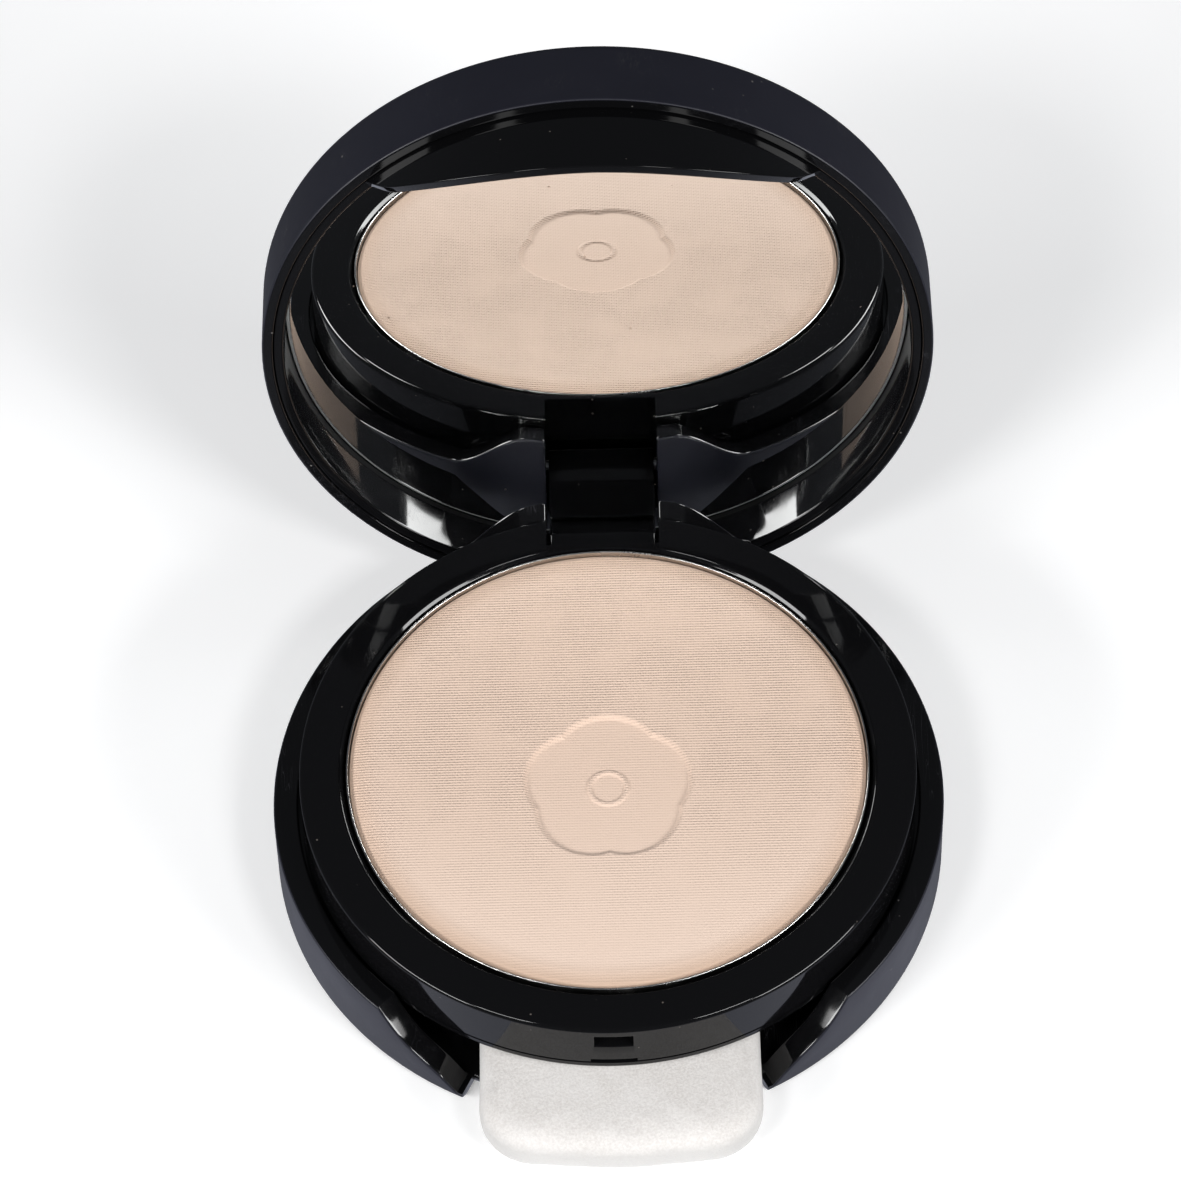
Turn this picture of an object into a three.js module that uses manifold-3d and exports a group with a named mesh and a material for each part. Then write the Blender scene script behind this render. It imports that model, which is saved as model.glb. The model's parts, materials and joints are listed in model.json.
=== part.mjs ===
// A round pressed-powder compact, shown open, with its puff half pulled out of the front.
// Millimetres, +Z up. Origin: centre of the base's flat underside. -Y is the front, where
// the thumb notch and the puff are, and +Y is the hinge side.
// Angles round the compact are in degrees from the front (-Y), positive towards +X.
import * as THREE from 'three';
import { mergeVertices } from 'three/addons/utils/BufferGeometryUtils.js';
import Module from 'manifold-3d';

const wasm = await Module();
wasm.setup();

// ---------------------------------------------------------------- driving dimensions

const OUTER_R = 38;             // base and lid, at the parting line
const FOOT_R = 37;              // flat underside
const BASE_H = 10;              // base rim above the table
const CLOSED_H = 20;            // closed compact
const FLOOR_T = 1.2;            // base floor
const BASE_INNER_R = 35.2;      // inside of the base wall
const LEDGE_R = 34;             // ledge that the tray sits on
const LEDGE_H = 8.1;
const LEDGE_ENDS = [50, 158];   // degrees from the front, on each side

const NOTCH_SPAN = [26, 43.5];  // the notch edge climbs to the rim between these angles
const NOTCH_WAVE = 0.55;        // how far that edge swings either side of a straight ramp
const NOTCH_CUT = 26.8;         // nearer the front than this, the wall is cut right through
const EAR_H = 14.9;             // raised rear wall beside the hinge
const EAR_SPAN = [13, 28];      // the ear drops between these angles, from the rear
const GAP_HALF = 6.5;           // half width of the hinge gap
const GAP_H = 5;                // wall left under the hinge gap

const HINGE_Y = 32.5;
const HINGE_Z = 8;
const KNUCKLE_R = 1.8;
const PIN_R = 0.7;
const BORE_R = 0.78;
const PIN_LENGTH = 20.8;
const LUG_END = 11;             // outer end of each base lug
const LID_ANGLE = 100;          // how far the lid opens, to its stop

const TRAY_R = 34.8;
const TRAY_BOTTOM = 8.3;
const TRAY_TOP = 16.1;
const WELL_R = 29.8;
const WELL_FLOOR = 11.3;
const SKIN_T = 1.1;             // moulded wall of the tray
const SLOT_HALF = 2.15;         // catch slot in the tray's front wall
const SLOT_Z = [12.6, 14.6];
const GROOVE_Z = [9.1, 9.4];    // shadow line round the foot of the tray
const GROOVE_DEPTH = 0.25;
const PRY_HALF = 2.6;           // shallow recess in that line, under the slot
const PRY_TOP = 9.9;
const PRY_DEPTH = 0.6;

const PAN_R = 29.5;
const PAN_T = 0.4;
const PAN_Z = [11.6, 16.1];
const CAKE_TOP = 15.9;

const LID_RIM = 10.15;
const LID_WALL = 1.25;
const LID_PLATE = 1.1;
const LINER_R = 36.65;
const LINER_INNER_R = 35.5;
const LINER_RIM = 10.35;
const LINER_Z = [18.05, 18.75]; // liner plate
const TONGUE_H = 0.8;           // lowest point of the front tongue, lid closed
const TONGUE_END = 46;
const TONGUE_POWER = 2.45;
const ARM_HALF = 6.2;
const MIRROR_R = 35.4;
const MIRROR_Z = [16.7, 17.65];
const TAPE_R = 28;
const TAPE_Z = [17.8, 17.95];

const PUFF_HALF = 15.6;
const PUFF_X = 0.65;
const PUFF_Y = [-44, 12];
const PUFF_Z = [1.4, 7.3];
const PUFF_CORNER = 4;
const RAIL_X = 17.1;            // inner faces of the rails that guide the puff
const RAIL_T = 0.9;
const RAIL_Y = [-26, 24];
const RAIL_H = 4.5;

const ROUND = 56;               // sides of a plain turned piece

// ---------------------------------------------------------------- shape tools

/** Smooth step from 0 to 1 as value passes from low to high. */
function ease(value, low, high) {
  return THREE.MathUtils.smoothstep(value, low, high);
}

/** Degrees away from the front, 0 to 180, of an angle round the compact. */
function fromFront(degrees) {
  return degrees > 180 ? 360 - degrees : degrees;
}

/** Edge of the thumb notch: a ramp with one slow wave along it, from the table to the rim. */
function notchEdge(side) {
  const [foot, top] = NOTCH_SPAN;
  const share = THREE.MathUtils.clamp((side - foot) / (top - foot), 0, 1);
  return BASE_H * share + NOTCH_WAVE * Math.sin(2 * Math.PI * share);
}

/** Top of the base wall: level, raised to the ears behind, dropped to the thumb notch in front. */
function baseRim(degrees) {
  const side = fromFront(degrees);
  const ear = (EAR_H - BASE_H) * (1 - ease(180 - side, ...EAR_SPAN));
  const aboveFloor = FLOOR_T + 0.1;
  return Math.max(notchEdge(side), aboveFloor) + ear;
}

/** Clearance shape that the lid keeps over the base's ears. */
function overEars(degrees, level) {
  const rear = 180 - fromFront(degrees);
  const clearance = 0.25;
  const widen = 0.7;
  const rise = EAR_H + clearance - level;
  return level + rise * (1 - ease(rear, EAR_SPAN[0] + widen, EAR_SPAN[1] + widen));
}

/** Lower edge of the lid cap. */
function capRim(degrees) {
  return overEars(degrees, LID_RIM);
}

/** Lower edge of the liner: the tongue hangs down in front and just clears the notch edge. */
function linerRim(degrees) {
  const side = fromFront(degrees);
  const reach = Math.min(side / TONGUE_END, 1);
  const smile = TONGUE_H + (LINER_RIM - TONGUE_H) * reach ** TONGUE_POWER;
  const gap = 0.5;
  const tongue = Math.min(Math.max(smile, notchEdge(side) + gap), LINER_RIM);
  return side < 90 ? tongue : overEars(degrees, LINER_RIM);
}

/** Angles round a piece, closer together over the notch and the ears. */
function fineAngles() {
  const stretches = [
    { from: 0, to: NOTCH_SPAN[0], steps: 6 },
    { from: NOTCH_SPAN[0], to: NOTCH_SPAN[1], steps: 7 },
    { from: NOTCH_SPAN[1], to: TONGUE_END, steps: 1 },
    { from: TONGUE_END, to: 150, steps: 12 },
    { from: 150, to: 180, steps: 12 },
  ];
  const angles = stretches.flatMap(({ from, to, steps }) => (
    Array.from({ length: steps }, (_, step) => from + ((to - from) * step) / steps)
  ));
  const back = angles.map((value) => 360 - value).reverse();
  return [...angles, 180, ...back];
}

function evenAngles(count) {
  return Array.from({ length: count + 1 }, (_, index) => (360 * index) / count);
}

/**
 * Turn a profile about Z. Each point is [radius, height], counter-clockwise as seen with
 * the radius to the right, and a height may be a function of the angle.
 */
function turned(profile, angles = evenAngles(ROUND)) {
  const points = profile.map(([radius]) => new THREE.Vector2(radius, 0));
  const geometry = new THREE.LatheGeometry(points, angles.length - 1);
  const position = geometry.getAttribute('position');
  angles.forEach((degrees, column) => {
    const radians = THREE.MathUtils.degToRad(degrees % 360);
    profile.forEach(([radius, height], row) => {
      const z = typeof height === 'function' ? height(degrees) : height;
      const index = column * profile.length + row;
      position.setXYZ(index, radius * Math.sin(radians), -radius * Math.cos(radians), z);
    });
  });
  return geometry;
}

/** Extrude an outline in Y and Z along X, centred on X = 0. */
function alongX(shape, length, curveSegments = 8) {
  const options = { depth: length, bevelEnabled: false, curveSegments };
  const geometry = new THREE.ExtrudeGeometry(shape, options);
  geometry.translate(0, 0, -length / 2);
  // The outline's own x and y become Y and Z, and its depth becomes X.
  geometry.applyMatrix4(new THREE.Matrix4().makeBasis(
    new THREE.Vector3(0, 1, 0),
    new THREE.Vector3(0, 0, 1),
    new THREE.Vector3(1, 0, 0),
  ));
  return geometry;
}

/** A box from its lowest to its highest corner. */
function block([x0, y0, z0], [x1, y1, z1]) {
  const geometry = new THREE.BoxGeometry(x1 - x0, y1 - y0, z1 - z0);
  return geometry.translate((x0 + x1) / 2, (y0 + y1) / 2, (z0 + z1) / 2);
}

/** A round bar along X on the hinge axis. */
function hingeBar(radius, length, sides) {
  const geometry = new THREE.CylinderGeometry(radius, radius, length, sides);
  geometry.rotateZ(-Math.PI / 2);
  return geometry.translate(0, HINGE_Y, HINGE_Z);
}

/** How far from the hinge line the base's rear wall reaches at one x, with some air. */
function earReach(x) {
  const air = 0.3;
  let reach = 2;
  for (let radius = BASE_INNER_R; radius <= OUTER_R; radius += 0.2) {
    const y = Math.sqrt(radius * radius - x * x);
    if (y < HINGE_Y) continue;
    const rear = THREE.MathUtils.radToDeg(Math.atan2(x, y));
    reach = Math.max(reach, Math.hypot(y - HINGE_Y, baseRim(180 - rear) - HINGE_Z));
  }
  return reach + air;
}

/** The room one ear needs while the lid swings, turned about the hinge line. */
function earSweep(side) {
  const profile = [];
  for (let x = ARM_HALF + 0.15; x <= 20; x += 0.65) {
    profile.push(new THREE.Vector2(earReach(x), x));
  }
  const [first, last] = [profile[0], profile[profile.length - 1]];
  const ends = [new THREE.Vector2(0, first.y), ...profile, new THREE.Vector2(0, last.y)];
  const geometry = new THREE.LatheGeometry(ends, 64);
  geometry.rotateZ(-side * Math.PI / 2);
  return geometry.translate(0, HINGE_Y, HINGE_Z);
}

/** Weld a geometry's corners and drop the triangles that have shrunk to a line. */
function welded(geometry) {
  geometry.deleteAttribute('normal');
  geometry.deleteAttribute('uv');
  const merged = mergeVertices(geometry, 1e-4);
  const index = merged.getIndex().array;
  const kept = [];
  for (let i = 0; i < index.length; i += 3) {
    const [a, b, c] = [index[i], index[i + 1], index[i + 2]];
    if (a !== b && b !== c && c !== a) kept.push(a, b, c);
  }
  merged.setIndex(kept);
  return merged;
}

function solid(geometry) {
  const merged = welded(geometry);
  return new wasm.Manifold(new wasm.Mesh({
    numProp: 3,
    vertProperties: new Float32Array(merged.getAttribute('position').array),
    triVerts: new Uint32Array(merged.getIndex().array),
  }));
}

function surface(manifold) {
  const mesh = manifold.getMesh();
  const geometry = new THREE.BufferGeometry();
  geometry.setAttribute('position', new THREE.BufferAttribute(mesh.vertProperties, 3));
  geometry.setIndex(new THREE.BufferAttribute(mesh.triVerts, 1));
  return geometry;
}

// ---------------------------------------------------------------- base

/** A curved bar between two radii, two angles from the front and two heights. */
function arcBar([innerR, outerR], degrees, [low, high]) {
  const [start, end] = degrees.map((value) => THREE.MathUtils.degToRad(value - 90));
  const shape = new THREE.Shape();
  shape.absarc(0, 0, outerR, start, end, false);
  shape.absarc(0, 0, innerR, end, start, true);
  const options = { depth: high - low, bevelEnabled: false, curveSegments: 12 };
  return new THREE.ExtrudeGeometry(shape, options).translate(0, 0, low);
}

/** The ledge under the tray, on one side, let a little way into the wall and the floor. */
function ledge(side) {
  const ends = LEDGE_ENDS.map((degrees) => side * degrees);
  const radii = [LEDGE_R, BASE_INNER_R + 0.6];
  return arcBar(radii, ends.sort((a, b) => a - b), [FLOOR_T - 0.3, LEDGE_H]);
}

/** A lug beside the hinge gap, rising from the floor, joined to the rear wall. */
function lug(side) {
  const shape = new THREE.Shape();
  const front = HINGE_Y - KNUCKLE_R;
  const rear = 36;
  shape.moveTo(front, FLOOR_T - 0.3);
  shape.lineTo(rear, FLOOR_T - 0.3);
  shape.lineTo(rear, HINGE_Z + KNUCKLE_R);
  shape.lineTo(HINGE_Y, HINGE_Z + KNUCKLE_R);
  shape.absarc(HINGE_Y, HINGE_Z, KNUCKLE_R, Math.PI / 2, Math.PI, false);
  const middle = (GAP_HALF + LUG_END) / 2;
  return alongX(shape, LUG_END - GAP_HALF).translate(side * middle, 0, 0);
}

function rail(side) {
  const inner = side * RAIL_X;
  const outer = side * (RAIL_X + RAIL_T);
  const low = [Math.min(inner, outer), RAIL_Y[0], FLOOR_T - 0.3];
  const high = [Math.max(inner, outer), RAIL_Y[1], RAIL_H];
  return block(low, high);
}

function baseShell() {
  const wall = turned([
    [0, 0],
    [FOOT_R, 0],
    [OUTER_R - 0.3, 0.5],
    [OUTER_R, baseRim],
    [BASE_INNER_R, baseRim],
    [BASE_INNER_R, FLOOR_T],
    [0, FLOOR_T],
  ], fineAngles());
  let body = solid(wall);
  for (const side of [-1, 1]) {
    body = body.add(solid(ledge(side)));
    body = body.add(solid(lug(side)));
    body = body.add(solid(rail(side)));
  }
  const gap = block([-GAP_HALF, HINGE_Y - KNUCKLE_R, GAP_H], [GAP_HALF, OUTER_R + 2, EAR_H + 2]);
  const lip = arcBar([BASE_INNER_R - 0.15, OUTER_R + 2], [-NOTCH_CUT, NOTCH_CUT], [-1, 2]);
  const bore = hingeBar(BORE_R, 2 * LUG_END + 2, 24);
  for (const cut of [gap, lip, bore]) body = body.subtract(solid(cut));
  return surface(body);
}

// ---------------------------------------------------------------- tray, pan and powder

function tray() {
  const skirtInner = TRAY_R - SKIN_T;
  const wellOuter = WELL_R + SKIN_T;
  const hollowTop = TRAY_TOP - 1.5;
  const ring = turned([
    [0, WELL_FLOOR - SKIN_T],
    [wellOuter, WELL_FLOOR - SKIN_T],
    [wellOuter, hollowTop],
    [skirtInner, hollowTop],
    [skirtInner, TRAY_BOTTOM],
    [TRAY_R, TRAY_BOTTOM],
    [TRAY_R, GROOVE_Z[0]],
    [TRAY_R - GROOVE_DEPTH, GROOVE_Z[0]],
    [TRAY_R - GROOVE_DEPTH, GROOVE_Z[1]],
    [TRAY_R, GROOVE_Z[1]],
    [TRAY_R, TRAY_TOP - 0.6],
    [TRAY_R - 0.4, TRAY_TOP - 0.2],
    [(TRAY_R + WELL_R) / 2, TRAY_TOP],
    [WELL_R + 0.5, TRAY_TOP],
    [WELL_R, TRAY_TOP - 0.4],
    [WELL_R, WELL_FLOOR],
    [0, WELL_FLOOR],
  ]);
  const armSlot = block(
    [-GAP_HALF, HINGE_Y - KNUCKLE_R - 0.25, TRAY_BOTTOM - 1],
    [GAP_HALF, TRAY_R + 1, TRAY_TOP + 1],
  );
  const lugPocket = block(
    [-LUG_END - 0.4, HINGE_Y - KNUCKLE_R - 0.3, TRAY_BOTTOM - 1],
    [LUG_END + 0.4, TRAY_R + 1, HINGE_Z + KNUCKLE_R + 0.3],
  );
  const catchSlot = block(
    [-SLOT_HALF, -TRAY_R - 1, SLOT_Z[0]],
    [SLOT_HALF, -skirtInner + 0.3, SLOT_Z[1]],
  );
  const pryRecess = block(
    [-PRY_HALF, -TRAY_R - 1, GROOVE_Z[0]],
    [PRY_HALF, -TRAY_R + PRY_DEPTH, PRY_TOP],
  );
  const cuts = [armSlot, lugPocket, catchSlot, pryRecess];
  let body = solid(ring);
  for (const cut of cuts) body = body.subtract(solid(cut));
  return surface(body);
}

function pan() {
  const [bottom, rim] = PAN_Z;
  return turned([
    [0, bottom],
    [PAN_R - 0.5, bottom],
    [PAN_R, bottom + 0.5],
    [PAN_R, rim],
    [PAN_R - PAN_T, rim],
    [PAN_R - PAN_T, bottom + PAN_T + 0.3],
    [PAN_R - PAN_T - 0.3, bottom + PAN_T],
    [0, bottom + PAN_T],
  ]);
}

function powderCake() {
  const cakeR = PAN_R - PAN_T - 0.1;
  const bottom = PAN_Z[0] + PAN_T + 0.1;
  return turned([
    [0, bottom],
    [cakeR - 0.4, bottom],
    [cakeR, bottom + 0.4],
    [cakeR, CAKE_TOP - 0.8],
    [cakeR - 0.9, CAKE_TOP - 0.15],
    [0, CAKE_TOP],
  ]);
}

function disc(radius, [low, high], sides = ROUND) {
  return turned([[0, low], [radius, low], [radius, high], [0, high]], evenAngles(sides));
}

// ---------------------------------------------------------------- lid

function lidCap() {
  const inner = OUTER_R - LID_WALL;
  const shell = turned([
    [0, CLOSED_H - LID_PLATE],
    [inner, CLOSED_H - LID_PLATE],
    [inner, capRim],
    [OUTER_R, capRim],
    [OUTER_R - 0.25, CLOSED_H - 0.7],
    [OUTER_R - 0.75, CLOSED_H - 0.15],
    [OUTER_R - 2, CLOSED_H],
    [0, CLOSED_H],
  ], fineAngles());
  return surface(clearOfEars(solid(shell)));
}

function clearOfEars(body) {
  return body.subtract(solid(earSweep(1))).subtract(solid(earSweep(-1)));
}

/** The hinge arm, from the liner's rear wall down to the knuckle. */
function hingeArm() {
  const shape = new THREE.Shape();
  const flushFace = HINGE_Y + KNUCKLE_R;
  const wallFace = 36;
  shape.moveTo(flushFace, HINGE_Z);
  shape.lineTo(flushFace, HINGE_Z + 5.7);
  shape.lineTo(wallFace, HINGE_Z + 6.6);
  shape.lineTo(wallFace, MIRROR_Z[0] - 0.3);
  shape.lineTo(HINGE_Y + 0.4, MIRROR_Z[0] - 0.3);
  shape.lineTo(HINGE_Y - KNUCKLE_R, HINGE_Z + 4.3);
  shape.lineTo(HINGE_Y - KNUCKLE_R, HINGE_Z);
  shape.absarc(HINGE_Y, HINGE_Z, KNUCKLE_R, Math.PI, 2 * Math.PI, false);
  return alongX(shape, 2 * ARM_HALF);
}

function lidLiner() {
  const shell = turned([
    [0, LINER_Z[0]],
    [LINER_INNER_R, LINER_Z[0]],
    [LINER_INNER_R, linerRim],
    [LINER_R, linerRim],
    [LINER_R, LINER_Z[1]],
    [0, LINER_Z[1]],
  ], fineAngles());
  const catchBump = block(
    [-SLOT_HALF + 0.25, -LINER_INNER_R - 0.3, SLOT_Z[0] + 0.5],
    [SLOT_HALF - 0.25, -TRAY_R + 0.2, SLOT_Z[1] - 0.4],
  );
  let body = clearOfEars(solid(shell));
  body = body.add(solid(hingeArm()));
  body = body.add(solid(catchBump));
  body = body.subtract(solid(hingeBar(BORE_R, 2 * ARM_HALF + 2, 24)));
  return surface(body);
}

// ---------------------------------------------------------------- puff

/** The puff's outline seen from above: a rounded oblong with a slightly bowed front. */
function puff() {
  const [front, rear] = PUFF_Y;
  const left = PUFF_X - PUFF_HALF;
  const right = PUFF_X + PUFF_HALF;
  const bow = 1.2;
  const shape = new THREE.Shape();
  shape.moveTo(left, rear - PUFF_CORNER);
  shape.lineTo(left, front + bow + PUFF_CORNER);
  shape.quadraticCurveTo(left, front + bow, left + PUFF_CORNER, front + bow * 0.6);
  shape.quadraticCurveTo(PUFF_X, front - bow * 0.6, right - PUFF_CORNER, front + bow * 0.6);
  shape.quadraticCurveTo(right, front + bow, right, front + bow + PUFF_CORNER);
  shape.lineTo(right, rear - PUFF_CORNER);
  shape.quadraticCurveTo(right, rear, right - PUFF_CORNER, rear);
  shape.lineTo(left + PUFF_CORNER, rear);
  shape.quadraticCurveTo(left, rear, left, rear - PUFF_CORNER);
  const edge = 1;
  const geometry = new THREE.ExtrudeGeometry(shape, {
    depth: PUFF_Z[1] - PUFF_Z[0] - 2 * edge,
    bevelThickness: edge,
    bevelSize: edge,
    bevelOffset: -edge,
    bevelSegments: 2,
    curveSegments: 6,
  });
  return geometry.translate(0, 0, PUFF_Z[0] + edge);
}

// ---------------------------------------------------------------- assembly

const FINISHES = {
  soft_touch: { color: 0x1f2027, roughness: 0.6, metalness: 0 },
  gloss_black: { color: 0x101012, roughness: 0.12, metalness: 0 },
  tin: { color: 0xc9c9cb, roughness: 0.3, metalness: 1 },
  steel: { color: 0x9a9ca0, roughness: 0.3, metalness: 1 },
  powder: { color: 0xe4cbba, roughness: 0.95, metalness: 0 },
  silvered_glass: { color: 0xf2f4f4, roughness: 0.02, metalness: 1 },
  glue: { color: 0xe8e4da, roughness: 0.5, metalness: 0 },
  velour: { color: 0xf0ece8, roughness: 1, metalness: 0 },
};

function piece(name, geometry, finish) {
  const mesh = new THREE.Mesh(geometry, new THREE.MeshStandardMaterial(FINISHES[finish]));
  mesh.name = name;
  return mesh;
}

const base = new THREE.Group();
base.add(
  piece('base_shell', baseShell(), 'soft_touch'),
  piece('tray', tray(), 'gloss_black'),
  piece('pan_glue', disc(12, [WELL_FLOOR + 0.05, WELL_FLOOR + 0.2], 32), 'glue'),
  piece('pan', pan(), 'tin'),
  piece('powder_cake', powderCake(), 'powder'),
  piece('hinge_pin', hingeBar(PIN_R, PIN_LENGTH, 24), 'steel'),
);

// The lid's pieces are drawn closed, then swung open together about the hinge axis.
const lid = new THREE.Group();
const lidParts = new THREE.Group();
lidParts.add(
  piece('lid_cap', lidCap(), 'soft_touch'),
  piece('lid_liner', lidLiner(), 'gloss_black'),
  piece('mirror_tape', disc(TAPE_R, TAPE_Z, 48), 'glue'),
  piece('mirror', disc(MIRROR_R, MIRROR_Z), 'silvered_glass'),
);
lidParts.position.set(0, -HINGE_Y, -HINGE_Z);
lid.position.set(0, HINGE_Y, HINGE_Z);
lid.rotation.x = -THREE.MathUtils.degToRad(LID_ANGLE);
lid.add(lidParts);

const compact = new THREE.Group();
compact.add(base, lid, piece('puff', puff(), 'velour'));

export default compact;
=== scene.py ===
"""Looks of a round powder compact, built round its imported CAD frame. Everything is in metres."""
import json
import math

import bmesh
import bpy
import numpy as np
from mathutils import Matrix, Vector


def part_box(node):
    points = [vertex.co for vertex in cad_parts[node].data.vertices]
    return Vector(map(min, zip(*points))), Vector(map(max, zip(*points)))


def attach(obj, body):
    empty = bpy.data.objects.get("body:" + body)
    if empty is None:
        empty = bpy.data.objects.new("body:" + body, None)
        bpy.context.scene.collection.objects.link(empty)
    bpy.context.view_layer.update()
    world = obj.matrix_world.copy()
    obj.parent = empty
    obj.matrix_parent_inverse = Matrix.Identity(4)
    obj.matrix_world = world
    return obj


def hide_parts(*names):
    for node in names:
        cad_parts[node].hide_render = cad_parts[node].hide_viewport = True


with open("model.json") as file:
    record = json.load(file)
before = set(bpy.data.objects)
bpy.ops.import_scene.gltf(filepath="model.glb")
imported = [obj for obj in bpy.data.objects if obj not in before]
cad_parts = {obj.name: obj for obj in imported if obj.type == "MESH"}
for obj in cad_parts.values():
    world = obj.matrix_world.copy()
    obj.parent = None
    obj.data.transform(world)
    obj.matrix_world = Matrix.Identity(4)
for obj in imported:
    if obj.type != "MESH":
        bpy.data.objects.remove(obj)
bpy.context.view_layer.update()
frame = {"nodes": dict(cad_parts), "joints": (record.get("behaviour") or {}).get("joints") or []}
MM = 0.001


# -------- sizes, from the frame

JOINTS = {joint["name"]: joint for joint in frame["joints"]}
HINGE = np.array(JOINTS["lid_hinge"]["pos_m"])
OPEN_ANGLE = math.radians(JOINTS["lid_hinge"]["range_deg"][1])


def turn_lid(points, angle):
    """Points turned about the hinge line: y and z mix as cosine and sine of the angle."""
    y = points[..., 1] - HINGE[1]
    z = points[..., 2] - HINGE[2]
    turned_y = HINGE[1] + y * math.cos(angle) - z * math.sin(angle)
    turned_z = HINGE[2] + y * math.sin(angle) + z * math.cos(angle)
    return np.stack([points[..., 0], turned_y, turned_z], axis=-1)


def opened(shell):
    """A shell of the shut lid, turned open."""
    points, faces = shell
    return turn_lid(points, -OPEN_ANGLE), faces


def read_points(mesh):
    """A mesh's points as an array (points, 3)."""
    points = np.empty(len(mesh.vertices) * 3)
    mesh.vertices.foreach_get("co", points)
    return points.reshape(-1, 3)


def snap(value):
    """A length to the nearest 0.05 mm, which takes away what the frame's facets cut off."""
    return round(value / (0.05 * MM)) * 0.05 * MM


def shut_box(node):
    """Lowest and highest corner of a lid node with the lid shut."""
    shut = turn_lid(read_points(frame["nodes"][node].data), OPEN_ANGLE)
    low = [snap(value) for value in shut.min(axis=0)]
    high = [snap(value) for value in shut.max(axis=0)]
    return low, high


def node_box(node):
    """Lowest and highest corner of a node."""
    low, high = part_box(node)
    return [snap(value) for value in low], [snap(value) for value in high]


BASE_BOX = node_box("base_shell")
TRAY_BOX = node_box("tray")
PAN_BOX = node_box("pan")
CAKE_BOX = node_box("powder_cake")
PIN_BOX = node_box("hinge_pin")
PUFF_BOX = node_box("puff")
CAP_BOX = shut_box("lid_cap")
LINER_BOX = shut_box("lid_liner")
MIRROR_BOX = shut_box("mirror")

OUTER_R = BASE_BOX[1][0]
EAR_TOP = BASE_BOX[1][2]
TRAY_R = TRAY_BOX[1][0]
TRAY_LOW = TRAY_BOX[0][2]
TRAY_TOP = TRAY_BOX[1][2]
CAP_TOP = CAP_BOX[1][2]
CAP_RIM = CAP_BOX[0][2]
LINER_R = LINER_BOX[1][0]
LINER_TOP = LINER_BOX[1][2]
TONGUE_LOW = LINER_BOX[0][2]

# R is a radius, H a height above the table, T a thickness, SPAN two angles from the front or rear.
FOOT_R = 37 * MM
RIM_H = 10 * MM
FLOOR_T = 1.2 * MM
BASE_INNER_R = 35.2 * MM
LEDGE_R = 34 * MM
LEDGE_H = 8.1 * MM
LEDGE_SPAN = (50, 158)
NOTCH_SPAN = (26, 43.5)
NOTCH_WAVE = 0.55 * MM
NOTCH_CUT = 26.8
EAR_SPAN = (13, 28)
GAP_HALF = 6.5 * MM
GAP_H = 5 * MM
KNUCKLE_R = 1.8 * MM
LUG_END = 11 * MM
RAIL_X = (17.1 * MM, 18 * MM)
RAIL_Y = (-26 * MM, 24 * MM)
RAIL_H = 4.5 * MM
WELL_R = 29.8 * MM
WELL_FLOOR = 11.3 * MM
SKIN_T = 1.1 * MM
ARM_SLOT_Y = 30.45 * MM
LUG_POCKET = (11.4 * MM, 10.1 * MM)
SLOT_HALF = 2.15 * MM
SLOT_Z = (12.6 * MM, 14.6 * MM)
GROOVE_Z = (9.1 * MM, 9.4 * MM)
GROOVE_DEPTH = 0.25 * MM
PRY_HALF = 2.6 * MM
PRY_TOP = 9.9 * MM
PRY_DEPTH = 0.6 * MM
PAN_T = 0.4 * MM
CAP_WALL = 1.25 * MM
CAP_PLATE = 1.1 * MM
LINER_INNER_R = 35.5 * MM
LINER_RIM = 10.35 * MM
LINER_PLATE = 18.05 * MM
STRAIGHT_FROM = 25 * MM
TONGUE_END = 46
TONGUE_POWER = 2.45
ARM_HALF = 6.2 * MM


# -------- surface tools

def ease(value, low, high):
    """Smooth step: 3t^2 - 2t^3 of the share t of the way from low to high."""
    share = np.clip((np.asarray(value, float) - low) / (high - low), 0, 1)
    return share * share * (3 - 2 * share)


def from_front(degrees):
    """Degrees away from the front, 0 to 180."""
    wrapped = np.mod(np.asarray(degrees, float), 360)
    return np.where(wrapped > 180, 360 - wrapped, wrapped)


def mirrored(half):
    """Angles from 0 to nearly 180 with their mirror images before them, in order."""
    half = np.asarray(half, float)
    return np.concatenate([-half[::-1], half])


def rounded(corners, radii, steps=4, support=0.12 * MM):
    """Paths (paths, corners, 2) with an arc at each inner corner.

    The arc touches both sides at radius / tan(half the corner's angle) from the corner. A
    point a little beyond each end of an arc keeps the flats flat when they are shaded.
    """
    corners = np.asarray(corners, float)
    if corners.ndim == 2:
        corners = corners[None]
    rows = [corners[:, 0]]
    for index in range(1, corners.shape[1] - 1):
        corner = corners[:, index]
        if radii[index] == 0:
            rows.append(corner)
            continue
        back = corners[:, index - 1] - corner
        ahead = corners[:, index + 1] - corner
        back_length = np.linalg.norm(back, axis=-1, keepdims=True)
        ahead_length = np.linalg.norm(ahead, axis=-1, keepdims=True)
        back = back / back_length
        ahead = ahead / ahead_length
        cosine = np.clip((back * ahead).sum(-1, keepdims=True), -0.9999, 0.9999)
        half = np.arccos(cosine) / 2
        shorter = np.minimum(back_length, ahead_length)
        touch = np.minimum(radii[index] / np.tan(half), 0.42 * shorter)
        spare = np.minimum(support, 0.9 * (0.5 * shorter - touch))
        bisector = back + ahead
        bisector /= np.linalg.norm(bisector, axis=-1, keepdims=True)
        centre = corner + bisector * touch / np.cos(half)
        start = corner + back * touch
        end = corner + ahead * touch
        sweep = math.pi - 2 * half
        rows.append(start + back * spare)
        for share in np.linspace(0, 1, steps + 1):
            near = np.sin((1 - share) * sweep) / np.sin(sweep)
            far = np.sin(share * sweep) / np.sin(sweep)
            rows.append(centre + near * (start - centre) + far * (end - centre))
        rows.append(end + ahead * spare)
    rows.append(corners[:, -1])
    return np.stack(rows, axis=1)


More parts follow.
